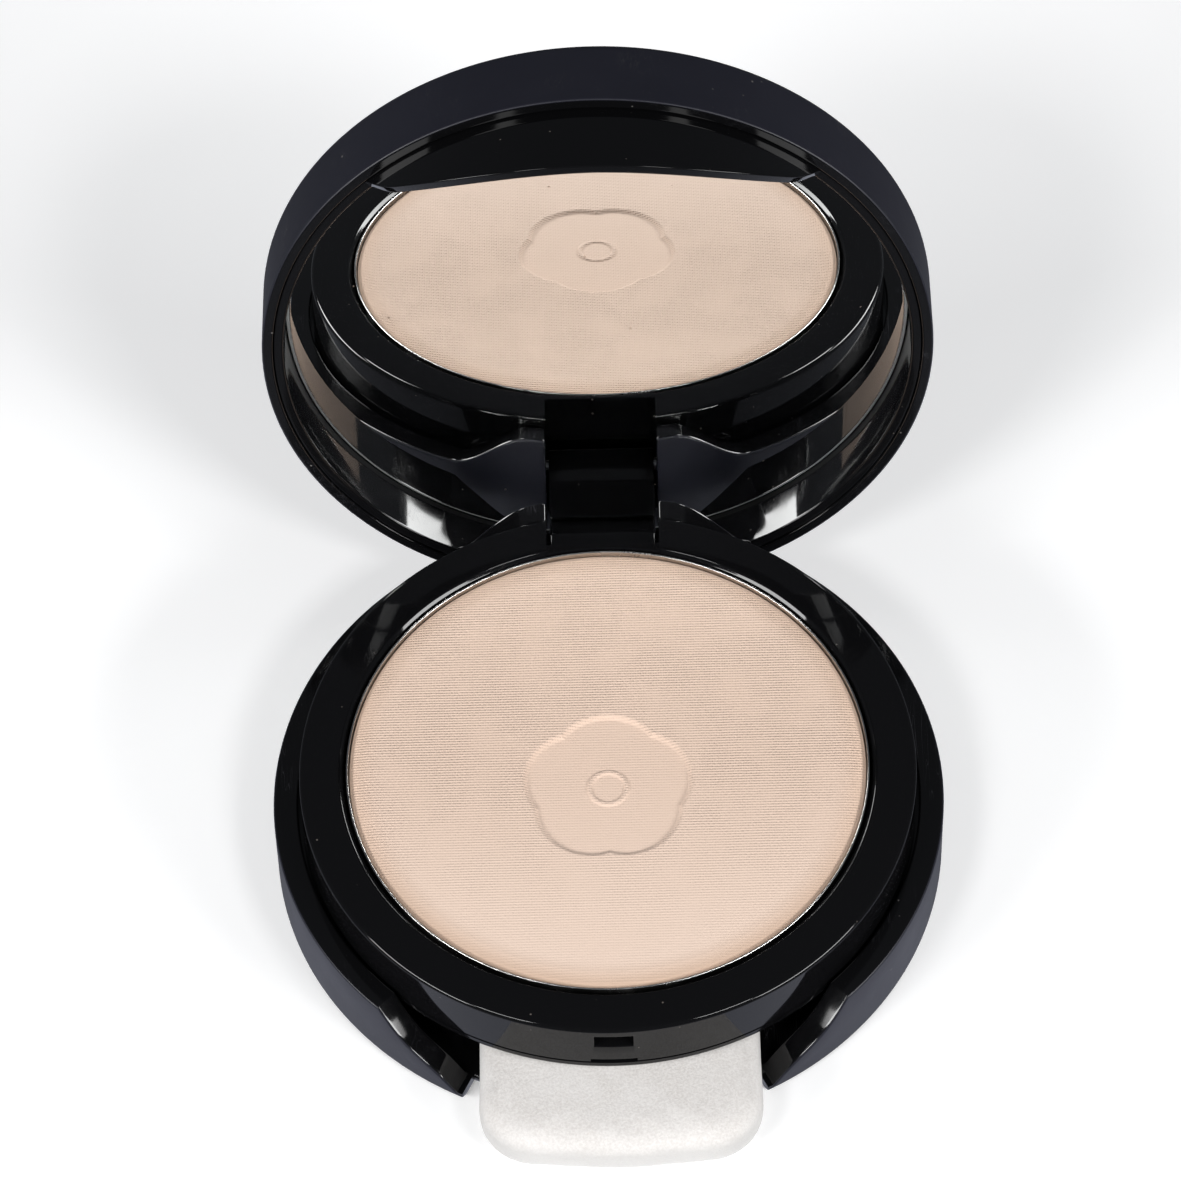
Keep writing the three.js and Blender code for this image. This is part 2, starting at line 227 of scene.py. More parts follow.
def place_round(radius, degrees, straight=None, reference=None):
    """x and y of points at a radius, one row of radii for each angle from the front.

    x is radius times sine and y is minus radius times cosine. Where straight is 1, a
    column keeps the x it has at the reference radius, so it stands parallel to Y.
    """
    radians = np.radians(degrees)[:, None]
    x = radius * np.sin(radians)
    y = -radius * np.cos(radians)
    if straight is not None:
        share = straight[:, None] * (radius > STRAIGHT_FROM)
        x = x * (1 - share) + reference * np.sin(radians) * share
        y = np.sign(y) * np.sqrt(np.maximum(radius ** 2 - x ** 2, 0))
    return x, y


def angle_round(x, y):
    """Degrees from the front of points (x, y), 0 to 180 on either side."""
    return np.degrees(np.arctan2(np.abs(x), -y))


def grid_faces(columns, rows, wrap_columns, wrap_rows):
    """Corner numbers of the quads of a grid, its edges joined where asked."""
    column = np.arange(columns if wrap_columns else columns - 1)
    row = np.arange(rows if wrap_rows else rows - 1)
    a, b = np.meshgrid(column, row, indexing="ij")
    next_a = (a + 1) % columns
    next_b = (b + 1) % rows
    quads = np.stack([a * rows + b, next_a * rows + b, next_a * rows + next_b, a * rows + next_b], -1)
    return quads.reshape(-1, 4).tolist()


def grid_shell(points, wrap_columns=True, wrap_rows=False):
    """A shell (points, faces) from a grid, with flat ends where a closed row loop stops."""
    columns, rows = points.shape[:2]
    faces = grid_faces(columns, rows, wrap_columns, wrap_rows)
    if wrap_rows and not wrap_columns:
        last = (columns - 1) * rows
        faces.append(list(range(rows)))
        faces.append(list(range(last, last + rows)))
    return points.reshape(-1, 3), faces


def write_points(mesh, points):
    """Puts an array (points, 3) into a mesh."""
    mesh.vertices.foreach_set("co", points.ravel())
    mesh.update()


def add_object(name, data):
    """A new object in the scene."""
    made = bpy.data.objects.new(name, data)
    bpy.context.scene.collection.objects.link(made)
    return made


def add_mask(mesh, name, values):
    """A number for each point of a mesh, for its material to read."""
    layer = mesh.attributes.new(name, "FLOAT", "POINT")
    layer.data.foreach_set("value", values.astype(np.float32))


def new_piece(name, shells, sharp=38, coat=None):
    """One object from closed shells, welded at poles and seams, faces outwards.

    Edges that turn by more than the sharp angle, in degrees, are drawn sharp. A coat is a
    function of the points that says, 0 to 1, where the matt outer coat lies.
    """
    mesh = bpy.data.meshes.new(name)
    whole = bmesh.new()
    for points, faces in shells:
        part = bpy.data.meshes.new("shell")
        part.from_pydata(points.tolist(), [], faces)
        shell = bmesh.new()
        shell.from_mesh(part)
        bmesh.ops.remove_doubles(shell, verts=shell.verts, dist=2e-7)
        bmesh.ops.dissolve_degenerate(shell, edges=shell.edges, dist=1e-7)
        bmesh.ops.recalc_face_normals(shell, faces=shell.faces)
        shell.to_mesh(part)
        shell.free()
        whole.from_mesh(part)
        bpy.data.meshes.remove(part)
    whole.to_mesh(mesh)
    whole.free()
    mesh.shade_smooth()
    mesh.set_sharp_from_angle(angle=math.radians(sharp))
    if coat:
        add_mask(mesh, "coat", coat(read_points(mesh)))
    return add_object(name, mesh)


def at_radius(radius, degrees, straight=None, reference=None):
    """x and y of each column's point at one radius."""
    x, y = place_round(np.full((len(degrees), 1), radius), degrees, straight, reference)
    return x[:, 0], y[:, 0]


def swept(corners, radii, degrees, straight=None, reference=None, steps=4):
    """Points (columns, rows, 3) of a rounded profile carried round Z.

    A corner is a radius and a height, and each is one number or has a value per column.
    """
    each = np.zeros(len(degrees))
    paths = [np.stack([each + radius, each + height], axis=-1) for radius, height in corners]
    profile = rounded(np.stack(paths, axis=1), radii, steps)
    x, y = place_round(profile[..., 0], degrees, straight, reference)
    return np.stack([x, y, profile[..., 1]], axis=-1)


def turned_shell(corners, radii, columns=192, steps=4):
    """A plain turned shell: one profile of radius and height carried round Z."""
    degrees = np.linspace(0, 360, columns, endpoint=False)
    return grid_shell(swept(corners, radii, degrees, steps=steps))


def loop_outline(corners, radii, steps=5):
    """A closed outline whose corners are arcs."""
    corners = np.asarray(corners, float)
    path = np.concatenate([corners[-1:], corners, corners[:1]])
    return rounded(path, [0, *radii, 0], steps)[0][1:-1]


def bar_shell(outline, low, high, edge, steps=3):
    """A bar along X of a closed (y, z) outline whose ends are rounded.

    Over a quarter turn x moves by edge times one minus cosine, and the outline moves
    outwards by edge times sine.
    """
    ahead = np.roll(outline, -1, axis=0) - outline
    area = (outline[:, 0] * np.roll(outline[:, 1], -1) - outline[:, 1] * np.roll(outline[:, 0], -1)).sum()
    behind = np.roll(ahead, 1, axis=0)
    tangent = ahead / np.linalg.norm(ahead, axis=1)[:, None]
    tangent = tangent + behind / np.linalg.norm(behind, axis=1)[:, None]
    tangent /= np.linalg.norm(tangent, axis=1)[:, None]
    inwards = math.copysign(1, area) * np.stack([-tangent[:, 1], tangent[:, 0]], axis=1)
    rings = []
    for turn in np.linspace(0, math.pi / 2, steps + 1):
        travel = edge * (1 - math.cos(turn))
        inset = edge * (1 - math.sin(turn))
        rings.append((low + travel, inset))
    rings += [(low + high - x, inset) for x, inset in rings[::-1]]
    shifted = [outline + inwards * inset for x, inset in rings]
    points = [np.column_stack([np.full(len(outline), x), ring]) for (x, inset), ring in zip(rings, shifted)]
    return grid_shell(np.stack(points), wrap_columns=False, wrap_rows=True)


def quarter_steps(edge, radius, steps=3):
    """Places and depths up to an edge that is rounded: each step is (place, depth)."""
    turns = np.linspace(0, math.pi / 2, steps + 1)
    return [(edge - radius * (1 - math.sin(q)), radius * (1 - math.cos(q))) for q in turns]


def outside(points):
    """1 on the case's outer wall, where the matt coat is, and 0 within it."""
    return ease(np.hypot(points[:, 0], points[:, 1]), OUTER_R - 0.2 * MM, OUTER_R - 0.1 * MM)


# -------- base

def notch_edge(side):
    """Height of the thumb notch's edge: a straight ramp with one sine wave along it."""
    share = np.clip((side - NOTCH_SPAN[0]) / (NOTCH_SPAN[1] - NOTCH_SPAN[0]), 0, 1)
    return RIM_H * share + NOTCH_WAVE * np.sin(2 * math.pi * share)


def base_rim(side):
    """Height of the base wall: level, eased up to the ears behind, dropped to the notch."""
    ear = (EAR_TOP - RIM_H) * (1 - ease(180 - side, *EAR_SPAN))
    return np.maximum(notch_edge(side), FLOOR_T + 0.1 * MM) + ear


def base_half():
    """Columns of half the base: angle, and whether cut through, in the gap, or how far drawn in."""
    cut = [(degrees, 1, 0, 0) for degrees in np.linspace(1, NOTCH_CUT, 14)]
    ramp = [(degrees, 0, 0, 0) for degrees in np.linspace(NOTCH_CUT, NOTCH_SPAN[1], 36)]
    level = [(degrees, 0, 0, 0) for degrees in np.arange(45, 150, 1.5)]
    ear = [(degrees, 0, 0, 0) for degrees in np.arange(150, 169, 0.75)]
    edge = [(-place, inset) for place, inset in quarter_steps(-GAP_HALF, 0.4 * MM)]
    across = [(x, 0, 0, inset) for x, inset in edge]
    across += [(x, 0, 1, 0) for x in np.linspace(GAP_HALF, 0.4 * MM, 8)]
    gap = [(180 - math.degrees(math.asin(x / OUTER_R)), *rest) for x, *rest in across]
    return np.array(cut + ramp + level + ear + gap)


def base_wall():
    """The base as a turned cup whose rim height changes with the angle.

    Where it is cut through at the thumb notch the wall is drawn back to the floor's edge,
    and in the hinge gap it drops to the gap's sill.
    """
    half = base_half()
    columns = np.concatenate([half[::-1], half])
    degrees = mirrored(half[:, 0])
    cut, gap, inset = columns[:, 1], columns[:, 2], columns[:, 3]
    straight = ease(from_front(degrees), 155, 165)

    def rim_at(radius):
        rim = base_rim(angle_round(*at_radius(radius, degrees, straight, OUTER_R)))
        return np.where(gap > 0.5, GAP_H, rim) - inset

    full = [
        (0, 0),
        (FOOT_R, 0),
        (OUTER_R - 0.3 * MM, 0.5 * MM),
        (OUTER_R - 0.02 * MM, 0.9 * MM),
        (OUTER_R - inset, rim_at(OUTER_R)),
        (BASE_INNER_R + inset, rim_at(BASE_INNER_R)),
        (BASE_INNER_R, FLOOR_T),
        (0, FLOOR_T),
    ]
    lip_r = BASE_INNER_R - 0.15 * MM
    lip = [
        (0, 0),
        (lip_r - 0.5 * MM, 0),
        (lip_r - 0.1 * MM, 0.1 * MM),
        (lip_r, 0.3 * MM),
        (lip_r, 0.8 * MM),
        (lip_r - 0.1 * MM, 1.1 * MM),
        (lip_r - 0.4 * MM, FLOOR_T),
        (0, FLOOR_T),
    ]
    corners = []
    for (radius, height), (lip_radius, lip_height) in zip(full, lip):
        corners.append((np.where(cut > 0.5, lip_radius, radius), np.where(cut > 0.5, lip_height, height)))
    radii = [0, 0.8 * MM, 0.4 * MM, 0, 0.3 * MM, 0.22 * MM, 0.3 * MM, 0]
    return grid_shell(swept(corners, radii, degrees, straight, OUTER_R))


def ring_bar(radii, heights, degrees, edge):
    """A curved bar of rectangular section between two angles."""
    corners = [(radii[0], heights[0]), (radii[1], heights[0]), (radii[1], heights[1]), (radii[0], heights[1])]
    outline = loop_outline(corners, [edge] * 4, 3)
    angles = np.linspace(*degrees, 60)
    radius = np.broadcast_to(outline[:, 0], (len(angles), len(outline)))
    x, y = place_round(radius, angles)
    z = np.broadcast_to(outline[:, 1], x.shape)
    return grid_shell(np.stack([x, y, z], axis=-1), wrap_columns=False, wrap_rows=True)


def lug(side):
    """A lug beside the hinge gap: a bar whose front top edge follows the knuckle."""
    front = HINGE[1] - KNUCKLE_R
    low = FLOOR_T - 0.3 * MM
    top = HINGE[2] + KNUCKLE_R
    rear = 36 * MM
    corners = [(front, low), (rear, low), (rear, top), (front, top)]
    outline = loop_outline(corners, [0, 0, 0, 0.95 * KNUCKLE_R], 8)
    ends = sorted([side * GAP_HALF, side * LUG_END])
    return bar_shell(outline, *ends, 0.15 * MM)


def rail(side):
    """A low rail that guides the puff, a bar with rounded edges."""
    low = FLOOR_T - 0.3 * MM
    front, rear = RAIL_Y
    corners = [(front, low), (rear, low), (rear, RAIL_H), (front, RAIL_H)]
    outline = loop_outline(corners, [0, 0, 0.5 * MM, 0.5 * MM])
    ends = sorted([side * RAIL_X[0], side * RAIL_X[1]])
    return bar_shell(outline, *ends, 0.15 * MM)


def build_base():
    """The base cup with its two ledges for the tray, its hinge lugs and the puff's rails."""
    shells = [base_wall()]
    for side in (-1, 1):
        ledge_radii = (LEDGE_R, BASE_INNER_R + 0.6 * MM)
        ledge_span = [side * degrees for degrees in LEDGE_SPAN]
        shells.append(ring_bar(ledge_radii, (FLOOR_T - 0.3 * MM, LEDGE_H), ledge_span, 0.2 * MM))
        shells.append(lug(side))
        shells.append(rail(side))

    return new_piece("base_shell_look", shells, coat=outside)


# -------- tray

def tray_half():
    """Columns of half the tray ring, front to hinge slot: x or angle, slot depth, recess depth."""
    reach = 3 * MM
    slot_edge = [(-x, depth) for x, depth in quarter_steps(-SLOT_HALF, 0.12 * MM)]
    inside = [(x, reach, PRY_DEPTH) for x in np.linspace(0.2 * MM, SLOT_HALF, 6)]
    outside = [(x, depth, PRY_DEPTH) for x, depth in slot_edge[::-1]]
    recess = [(PRY_HALF, 0, PRY_DEPTH), (PRY_HALF, 0, 0)]
    beyond = [(x, 0, 0) for x in np.linspace(3 * MM, 5 * MM, 6)]
    front = [(math.degrees(math.asin(x / TRAY_R)), *rest) for x, *rest in inside + outside + recess + beyond]
    round_side = [(degrees, 0, 0) for degrees in np.arange(10, 158, 1.8)]
    beside_slot = [11.8 * MM, LUG_POCKET[0], LUG_POCKET[0], 10 * MM, 8.5 * MM, 7.2 * MM, GAP_HALF]
    slot_side = [(180 - math.degrees(math.asin(x / TRAY_R)), 0, 0) for x in beside_slot]
    return np.array(front + round_side), np.array(slot_side)


def tray_ring():
    """The tray's hollow ring as a closed loop swept round from one side of the hinge slot to the other.

    The outer wall's rows carry the groove, the catch slot and the pry recess as depths
    taken off the radius, and over the lugs the skirt is lifted.
    """
    front, slot_side = tray_half()
    half = np.concatenate([front, slot_side])
    lifted = np.zeros(len(half))
    lifted[len(front) + 2:] = 1
    degrees = mirrored(half[:, 0])
    slot_depth = np.concatenate([half[::-1, 1], half[:, 1]])
    recess_depth = np.concatenate([half[::-1, 2], half[:, 2]])
    lifted = np.concatenate([lifted[::-1], lifted])
    skirt_inner = TRAY_R - SKIN_T
    well_outer = WELL_R + SKIN_T
    hollow_top = TRAY_TOP - 1.5 * MM
    under = rounded([
        (WELL_R, TRAY_TOP - 2 * MM),
        (WELL_R, WELL_FLOOR - SKIN_T),
        (well_outer, WELL_FLOOR - SKIN_T),
        (well_outer, hollow_top),
        (skirt_inner, hollow_top),
        (skirt_inner, TRAY_LOW),
        (TRAY_R, TRAY_LOW),
        (TRAY_R, GROOVE_Z[0] - 0.1 * MM),
    ], [0, 0.2 * MM, 0.2 * MM, 0.3 * MM, 0.3 * MM, 0.15 * MM, 0.2 * MM, 0])[0]
    over = rounded([
        (TRAY_R, SLOT_Z[1] + 0.2 * MM),
        (TRAY_R, TRAY_TOP - 0.2 * MM),
        ((TRAY_R + WELL_R) / 2, TRAY_TOP),
        (WELL_R + 0.5 * MM, TRAY_TOP),
        (WELL_R, TRAY_TOP - 0.5 * MM),
        (WELL_R, TRAY_TOP - 1.6 * MM),
    ], [0, 0.5 * MM, 0, 0.3 * MM, 0.4 * MM, 0], 6)[0]
    low, high = GROOVE_Z
    wall = [(low, 0, 0, 0), (low, GROOVE_DEPTH, 0, 1), (high, GROOVE_DEPTH, 0, 1), (high, 0, 0, 1)]
    wall += [(PRY_TOP, 0, 0, 1), (PRY_TOP, 0, 0, 0), (11 * MM, 0, 0, 0)]
    rise = quarter_steps(SLOT_Z[0], 0.12 * MM)
    fall = [(SLOT_Z[0] + SLOT_Z[1] - z, depth) for z, depth in rise[::-1]]
    wall += [(z, 0, depth, 0) for z, depth in rise]
    wall += [(SLOT_Z[0], 0, 1, 0), (SLOT_Z[1], 0, 1, 0)]
    wall += [(z, 0, depth, 0) for z, depth in fall]
    wall = np.array(wall)
    heights = np.concatenate([under[:, 1], wall[:, 0], over[:, 1]])
    radii = np.concatenate([under[:, 0], np.full(len(wall), TRAY_R), over[:, 0]])
    rows = slice(len(under), len(under) + len(wall))
    radius = np.broadcast_to(radii, (len(degrees), len(radii))).copy()
    z = np.broadcast_to(heights, radius.shape).copy()
    groove = wall[:, 1] * (1 - lifted[:, None])
    slot = np.minimum(slot_depth[:, None], wall[:, 2])
    recess = recess_depth[:, None] * wall[:, 3]
    radius[:, rows] -= np.maximum(np.maximum(groove, slot), recess)
    skirt = (lifted[:, None] > 0) & (radius > skirt_inner - 0.4 * MM) & (z < LUG_POCKET[1])
    z = np.where(skirt, LUG_POCKET[1], z)
    side = from_front(degrees)
    straight = np.maximum(1 - ease(side, 8.5, 16), ease(side, 155, 161))
    x, y = place_round(radius, degrees, straight, TRAY_R)
    return grid_shell(np.stack([x, y, z], axis=-1), wrap_columns=False, wrap_rows=True)


def tray_well():
    """The tray's floor, with the flat-backed piece of well wall in front of the hinge slot.

    Over the slot the wall's outside follows the flat line y = constant; elsewhere the
    disc's edge stays hidden inside the ring.
    """
    hidden_r = WELL_R + 0.4 * MM
    edge = math.degrees(math.asin(GAP_HALF / TRAY_R))
    slot = 180 - np.linspace(edge, 0.3, 12)
    half = np.concatenate([np.arange(2, 168, 3), [180 - edge], slot])
    in_slot = np.zeros(len(half))
    in_slot[-len(slot):] = 1
    degrees = mirrored(half)
    in_slot = np.concatenate([in_slot[::-1], in_slot])
    straight = ease(from_front(degrees), 155, 161)
    x_edge = TRAY_R * np.sin(np.radians(degrees))
    flat_r = np.hypot(ARM_SLOT_Y, x_edge)
    low = WELL_FLOOR - SKIN_T + 0.02 * MM
    outer_r = np.where(in_slot > 0.5, flat_r, hidden_r)
    inner_r = np.where(in_slot > 0.5, WELL_R, hidden_r - 0.1 * MM)
    top = np.where(in_slot > 0.5, TRAY_TOP, WELL_FLOOR + 0.2 * MM)
    corners = [
        (0, low),
        (outer_r, low),
        (outer_r, top),
        (inner_r, top - 0.02 * MM),
        (inner_r, WELL_FLOOR + 0.1 * MM),
        (WELL_R - 0.2 * MM, WELL_FLOOR),
        (0, WELL_FLOOR),
    ]
    radii = [0, 0.1 * MM, 0.12 * MM, 0.2 * MM, 0, 0, 0]
    return grid_shell(swept(corners, radii, degrees, straight, TRAY_R))


def build_tray():
    """The tray: its hollow ring and the floor under the pan."""
    return new_piece("tray_look", [tray_ring(), tray_well()])


# -------- lid

def ear_reach(x):
    """How far from the hinge line the base's rear wall reaches at one x, with some air."""
    radius = np.arange(BASE_INNER_R, OUTER_R + 0.01 * MM, 0.2 * MM)
    y = np.sqrt(radius ** 2 - x ** 2)
    height = base_rim(angle_round(np.full_like(y, x), y))
    reach = np.hypot(y - HINGE[1], height - HINGE[2])
    behind = y > HINGE[1]
    return (reach[behind].max() if behind.any() else 0) + 0.3 * MM


EAR_X = np.linspace(0, 20, 41) * MM
EAR_REACH = np.array([ear_reach(x) for x in EAR_X])


def over_ears(side, level, x, y):
    """Edge of a lid wall: over the ears by their own curve, and clear of their swing.

    The swing is a circle about the hinge line, so its height is the hinge's plus the
    square root of reach squared less distance squared.
    """
    top = EAR_TOP + 0.25 * MM
    edge = level + (top - level) * (1 - ease(180 - side, EAR_SPAN[0] + 0.7, EAR_SPAN[1] + 0.7))
    reach = np.interp(np.abs(x), EAR_X, EAR_REACH)
    beside = np.maximum(reach ** 2 - (y - HINGE[1]) ** 2, 0)
    swing = HINGE[2] + np.sqrt(beside)
    near = (np.abs(x) < EAR_X[-1]) & (y > 28 * MM) & (beside > 0)
    return np.where(near, np.maximum(edge, swing), edge)


def lid_columns():
    """Angles of the lid's columns, close together at the tongue and the ears."""
    half = np.concatenate([np.arange(0.5, 60, 1), np.arange(60, 140, 2), np.arange(140, 180, 1)])
    return mirrored(half)


def build_cap():
    """The lid's cap: a shallow turned cup, its crown edge eased over in two steps, opened on the hinge."""
    degrees = lid_columns()
    side = from_front(degrees)
    inner_r = OUTER_R - CAP_WALL
    corners = [
        (0, CAP_TOP - CAP_PLATE),
        (inner_r, CAP_TOP - CAP_PLATE),
        (inner_r, over_ears(side, CAP_RIM, *at_radius(inner_r, degrees))),
        (OUTER_R, over_ears(side, CAP_RIM, *at_radius(OUTER_R, degrees))),
        (OUTER_R, CAP_TOP - 0.9 * MM),
        (OUTER_R - 0.9 * MM, CAP_TOP - 0.05 * MM),
        (OUTER_R - 3 * MM, CAP_TOP),
        (0, CAP_TOP),
    ]
    radii = [0, 0.4 * MM, 0.12 * MM, 0.22 * MM, 1.4 * MM, 1.4 * MM, 0.8 * MM, 0]

    def coat(points):
        shut = turn_lid(points, OPEN_ANGLE)
        return np.maximum(outside(shut), shut[:, 2] > CAP_TOP - 0.95 * MM)

    return new_piece("lid_cap_look", [opened(grid_shell(swept(corners, radii, degrees)))], coat=coat)


def liner_edge(degrees, x, y):
    """Edge of the liner: a power curve for the tongue in front, the ears' curve behind."""
    side = from_front(degrees)
    smile = TONGUE_LOW + (LINER_RIM - TONGUE_LOW) * np.minimum(side / TONGUE_END, 1) ** TONGUE_POWER
    tongue = np.minimum(np.maximum(smile, notch_edge(side) + 0.5 * MM), LINER_RIM)
    return np.where(side < 90, tongue, over_ears(side, LINER_RIM, x, y))


def liner_wall():
    """The liner's plate and wall, shut: a turned cup whose edge follows the tongue and the ears."""
    degrees = lid_columns()
    corners = [
        (0, LINER_PLATE),
        (LINER_INNER_R, LINER_PLATE),
        (LINER_INNER_R, liner_edge(degrees, *at_radius(LINER_INNER_R, degrees))),
        (LINER_R, liner_edge(degrees, *at_radius(LINER_R, degrees))),
        (LINER_R, LINER_TOP),
        (0, LINER_TOP),
    ]
    return swept(corners, [0, 0.3 * MM, 0.2 * MM, 0.12 * MM, 0.1 * MM, 0], degrees)


def arm_outline():
    """The hinge arm from the side, shut: down the liner's rear wall to a round knuckle."""
    mirror_side = MIRROR_BOX[0][2] - 0.3 * MM
    front = HINGE[1] - KNUCKLE_R
    rear = HINGE[1] + KNUCKLE_R
    under = HINGE[2] - KNUCKLE_R
    corners = [
        (rear, under),
        (rear, HINGE[2] + 5.7 * MM),
        (36 * MM, HINGE[2] + 6.6 * MM),
        (36 * MM, mirror_side),
        (HINGE[1] + 0.4 * MM, mirror_side),
        (front, HINGE[2] + 4.3 * MM),
        (front, under),
    ]
    return loop_outline(corners, [0.99 * KNUCKLE_R, 0.5 * MM, 0, 0, 0.5 * MM, 1.5 * MM, 0.99 * KNUCKLE_R], 10)


def build_liner():
    """The glossy liner with its tongue, hinge arm and catch bump, opened on the hinge."""
    arm = bar_shell(arm_outline(), -ARM_HALF, ARM_HALF, 0.25 * MM)
    inner = -(LINER_INNER_R + 0.3 * MM)
    tip = -TRAY_R + 0.2 * MM
    low = SLOT_Z[0] + 0.5 * MM
    high = SLOT_Z[1] - 0.4 * MM
    corners = [(inner, low), (tip, low + 0.2 * MM), (tip, high - 0.3 * MM), (inner, high)]
    half = SLOT_HALF - 0.25 * MM
    catch = bar_shell(loop_outline(corners, [0, 0.3 * MM, 0.3 * MM, 0]), -half, half, 0.3 * MM)
    return new_piece("lid_liner_look", [opened(shell) for shell in (grid_shell(liner_wall()), arm, catch)])


def build_mirror():
    """The mirror: a turned disc whose front edge is ground back at a slant."""
    radius = MIRROR_BOX[1][0]
    face = MIRROR_BOX[0][2]
    back = MIRROR_BOX[1][2]
    corners = [
        (0, face),
        (radius - 0.45 * MM, face),
        (radius, face + 0.3 * MM),
        (radius, back),
        (0, back),
    ]
    disc = turned_shell(corners, [0, 0.03 * MM, 0.05 * MM, 0.05 * MM, 0], 240, 2)

    def ground(corners):
        shut = turn_lid(corners, OPEN_ANGLE)
        return (np.hypot(shut[:, 0], shut[:, 1]) > radius - 0.43 * MM) * 1.0

    return new_piece("mirror_look", [opened(disc)], sharp=20, coat=ground)


# -------- pan, pin and powder

def build_pan():
    """The pan: a thin turned cup with a rolled rim."""
    radius = PAN_BOX[1][0]
    low = PAN_BOX[0][2]
    rim = PAN_BOX[1][2] - 0.1 * MM
    lip = 0.22 * MM
    corners = [
        (0, low),
        (radius - 0.15 * MM, low),
        (radius, low + 0.5 * MM),
        (radius, rim),
        (radius - lip, rim),
        (radius - PAN_T, low + PAN_T + 0.6 * MM),
        (radius - PAN_T - 0.4 * MM, low + PAN_T),
        (0, low + PAN_T),
    ]
    radii = [0, 0.3 * MM, 0.4 * MM, 0.09 * MM, 0.09 * MM, 0.3 * MM, 0.3 * MM, 0]
    return new_piece("pan_look", [turned_shell(corners, radii, 240)])


def build_pin():
    """The hinge pin: a thin turned rod with chamfered ends, laid along X."""
    radius = (PIN_BOX[1][2] - PIN_BOX[0][2]) / 2
    reach = PIN_BOX[1][0]
    corners = [(0, -reach), (radius - 0.15 * MM, -reach), (radius, 0.15 * MM - reach),
               (radius, reach - 0.15 * MM), (radius - 0.15 * MM, reach), (0, reach)]
    points, faces = turned_shell(corners, [0, 0.08 * MM, 0.08 * MM, 0.08 * MM, 0.08 * MM, 0], 32, 2)
    laid = np.column_stack([points[:, 2], HINGE[1] + points[:, 1], HINGE[2] - points[:, 0]])
    return new_piece("hinge_pin_look", [(laid, faces)])


BLOSSOM_Y = -2.8 * MM
BLOSSOM_DEPTH = 0.38 * MM
PETAL_R = 8.5 * MM
PETAL_WAVE = 0.95 * MM
HEART_R = 2.1 * MM
HEART_DEPTH = 0.16 * MM
POWDER_COLUMNS = 480


def blossom(x, y):
    """Depth of the pressed flower: inside a circle whose radius waves five times round it.

    The wall is eased down, and a small ring stands up round the middle.
    """
    centred_y = y - BLOSSOM_Y
    radius = np.hypot(x, centred_y)
    turn = np.arctan2(x, centred_y)
    petals = PETAL_R + PETAL_WAVE * np.abs(np.cos(2.5 * turn)) ** 0.8
    sunk = 1 - ease(radius - petals, -0.36 * MM, 0.36 * MM)
    heart = 1 - ease(np.abs(radius - HEART_R), 0.1 * MM, 0.42 * MM)
    return BLOSSOM_DEPTH * sunk - HEART_DEPTH * heart


def build_powder():
    """The pressed powder: a turned cake whose top is level with a rounded edge.

    Rings lie 0.1 mm apart as far as the pressed flower reaches, and its depth is taken
    off their height.
    """
    radius = CAKE_BOX[1][0]
    low = CAKE_BOX[0][2]
    top = CAKE_BOX[1][2]
    brim = radius + 0.15 * MM
    edge = rounded([(0, low), (radius - 0.4 * MM, low), (radius, low + 0.4 * MM), (brim, top - 0.5 * MM),
                    (brim - 0.5 * MM, top - 0.2 * MM), (brim - 2 * MM, top - 0.03 * MM), (20 * MM, top)],
                   [0, 0.2 * MM, 0.2 * MM, 0.3 * MM, 1 * MM, 2 * MM, 0], 6)[0]
    rings = np.concatenate([np.linspace(17, 13.2, 4), np.arange(13, -0.01, -0.1)]) * MM
    middle = np.column_stack([np.maximum(rings, 0), np.full(len(rings), top)])
    profile = np.concatenate([edge, middle])
    degrees = np.linspace(0, 360, POWDER_COLUMNS, endpoint=False)
    ring_radius = np.broadcast_to(profile[:, 0], (POWDER_COLUMNS, len(profile)))
    x, y = place_round(ring_radius, degrees)
    z = np.broadcast_to(profile[:, 1], x.shape).copy()
    z[:, len(edge):] -= blossom(x, y)[:, len(edge):]
    return new_piece("powder_cake_look", [grid_shell(np.stack([x, y, z], axis=-1))], sharp=60)


# -------- puff

PUFF_SCALE = 20
PUFF_VOXEL = 0.55 * MM
PUFF_SWELL = 0.55 * MM
PUFF_BOW = 1.5 * MM
PUFF_SPARE = 0.6 * MM
PUFF_NOSE = 0.9 * MM
PUFF_EDGE = 2.2 * MM
PUFF_COLUMNS = 220
CLOTH_FRAMES = 20
CLOTH = {
    "quality": 4,
    "mass": 0.3,
    "tension_stiffness": 40,
    "compression_stiffness": 40,
    "bending_stiffness": 4,
    "use_pressure": True,
    "uniform_pressure_force": 4,
}


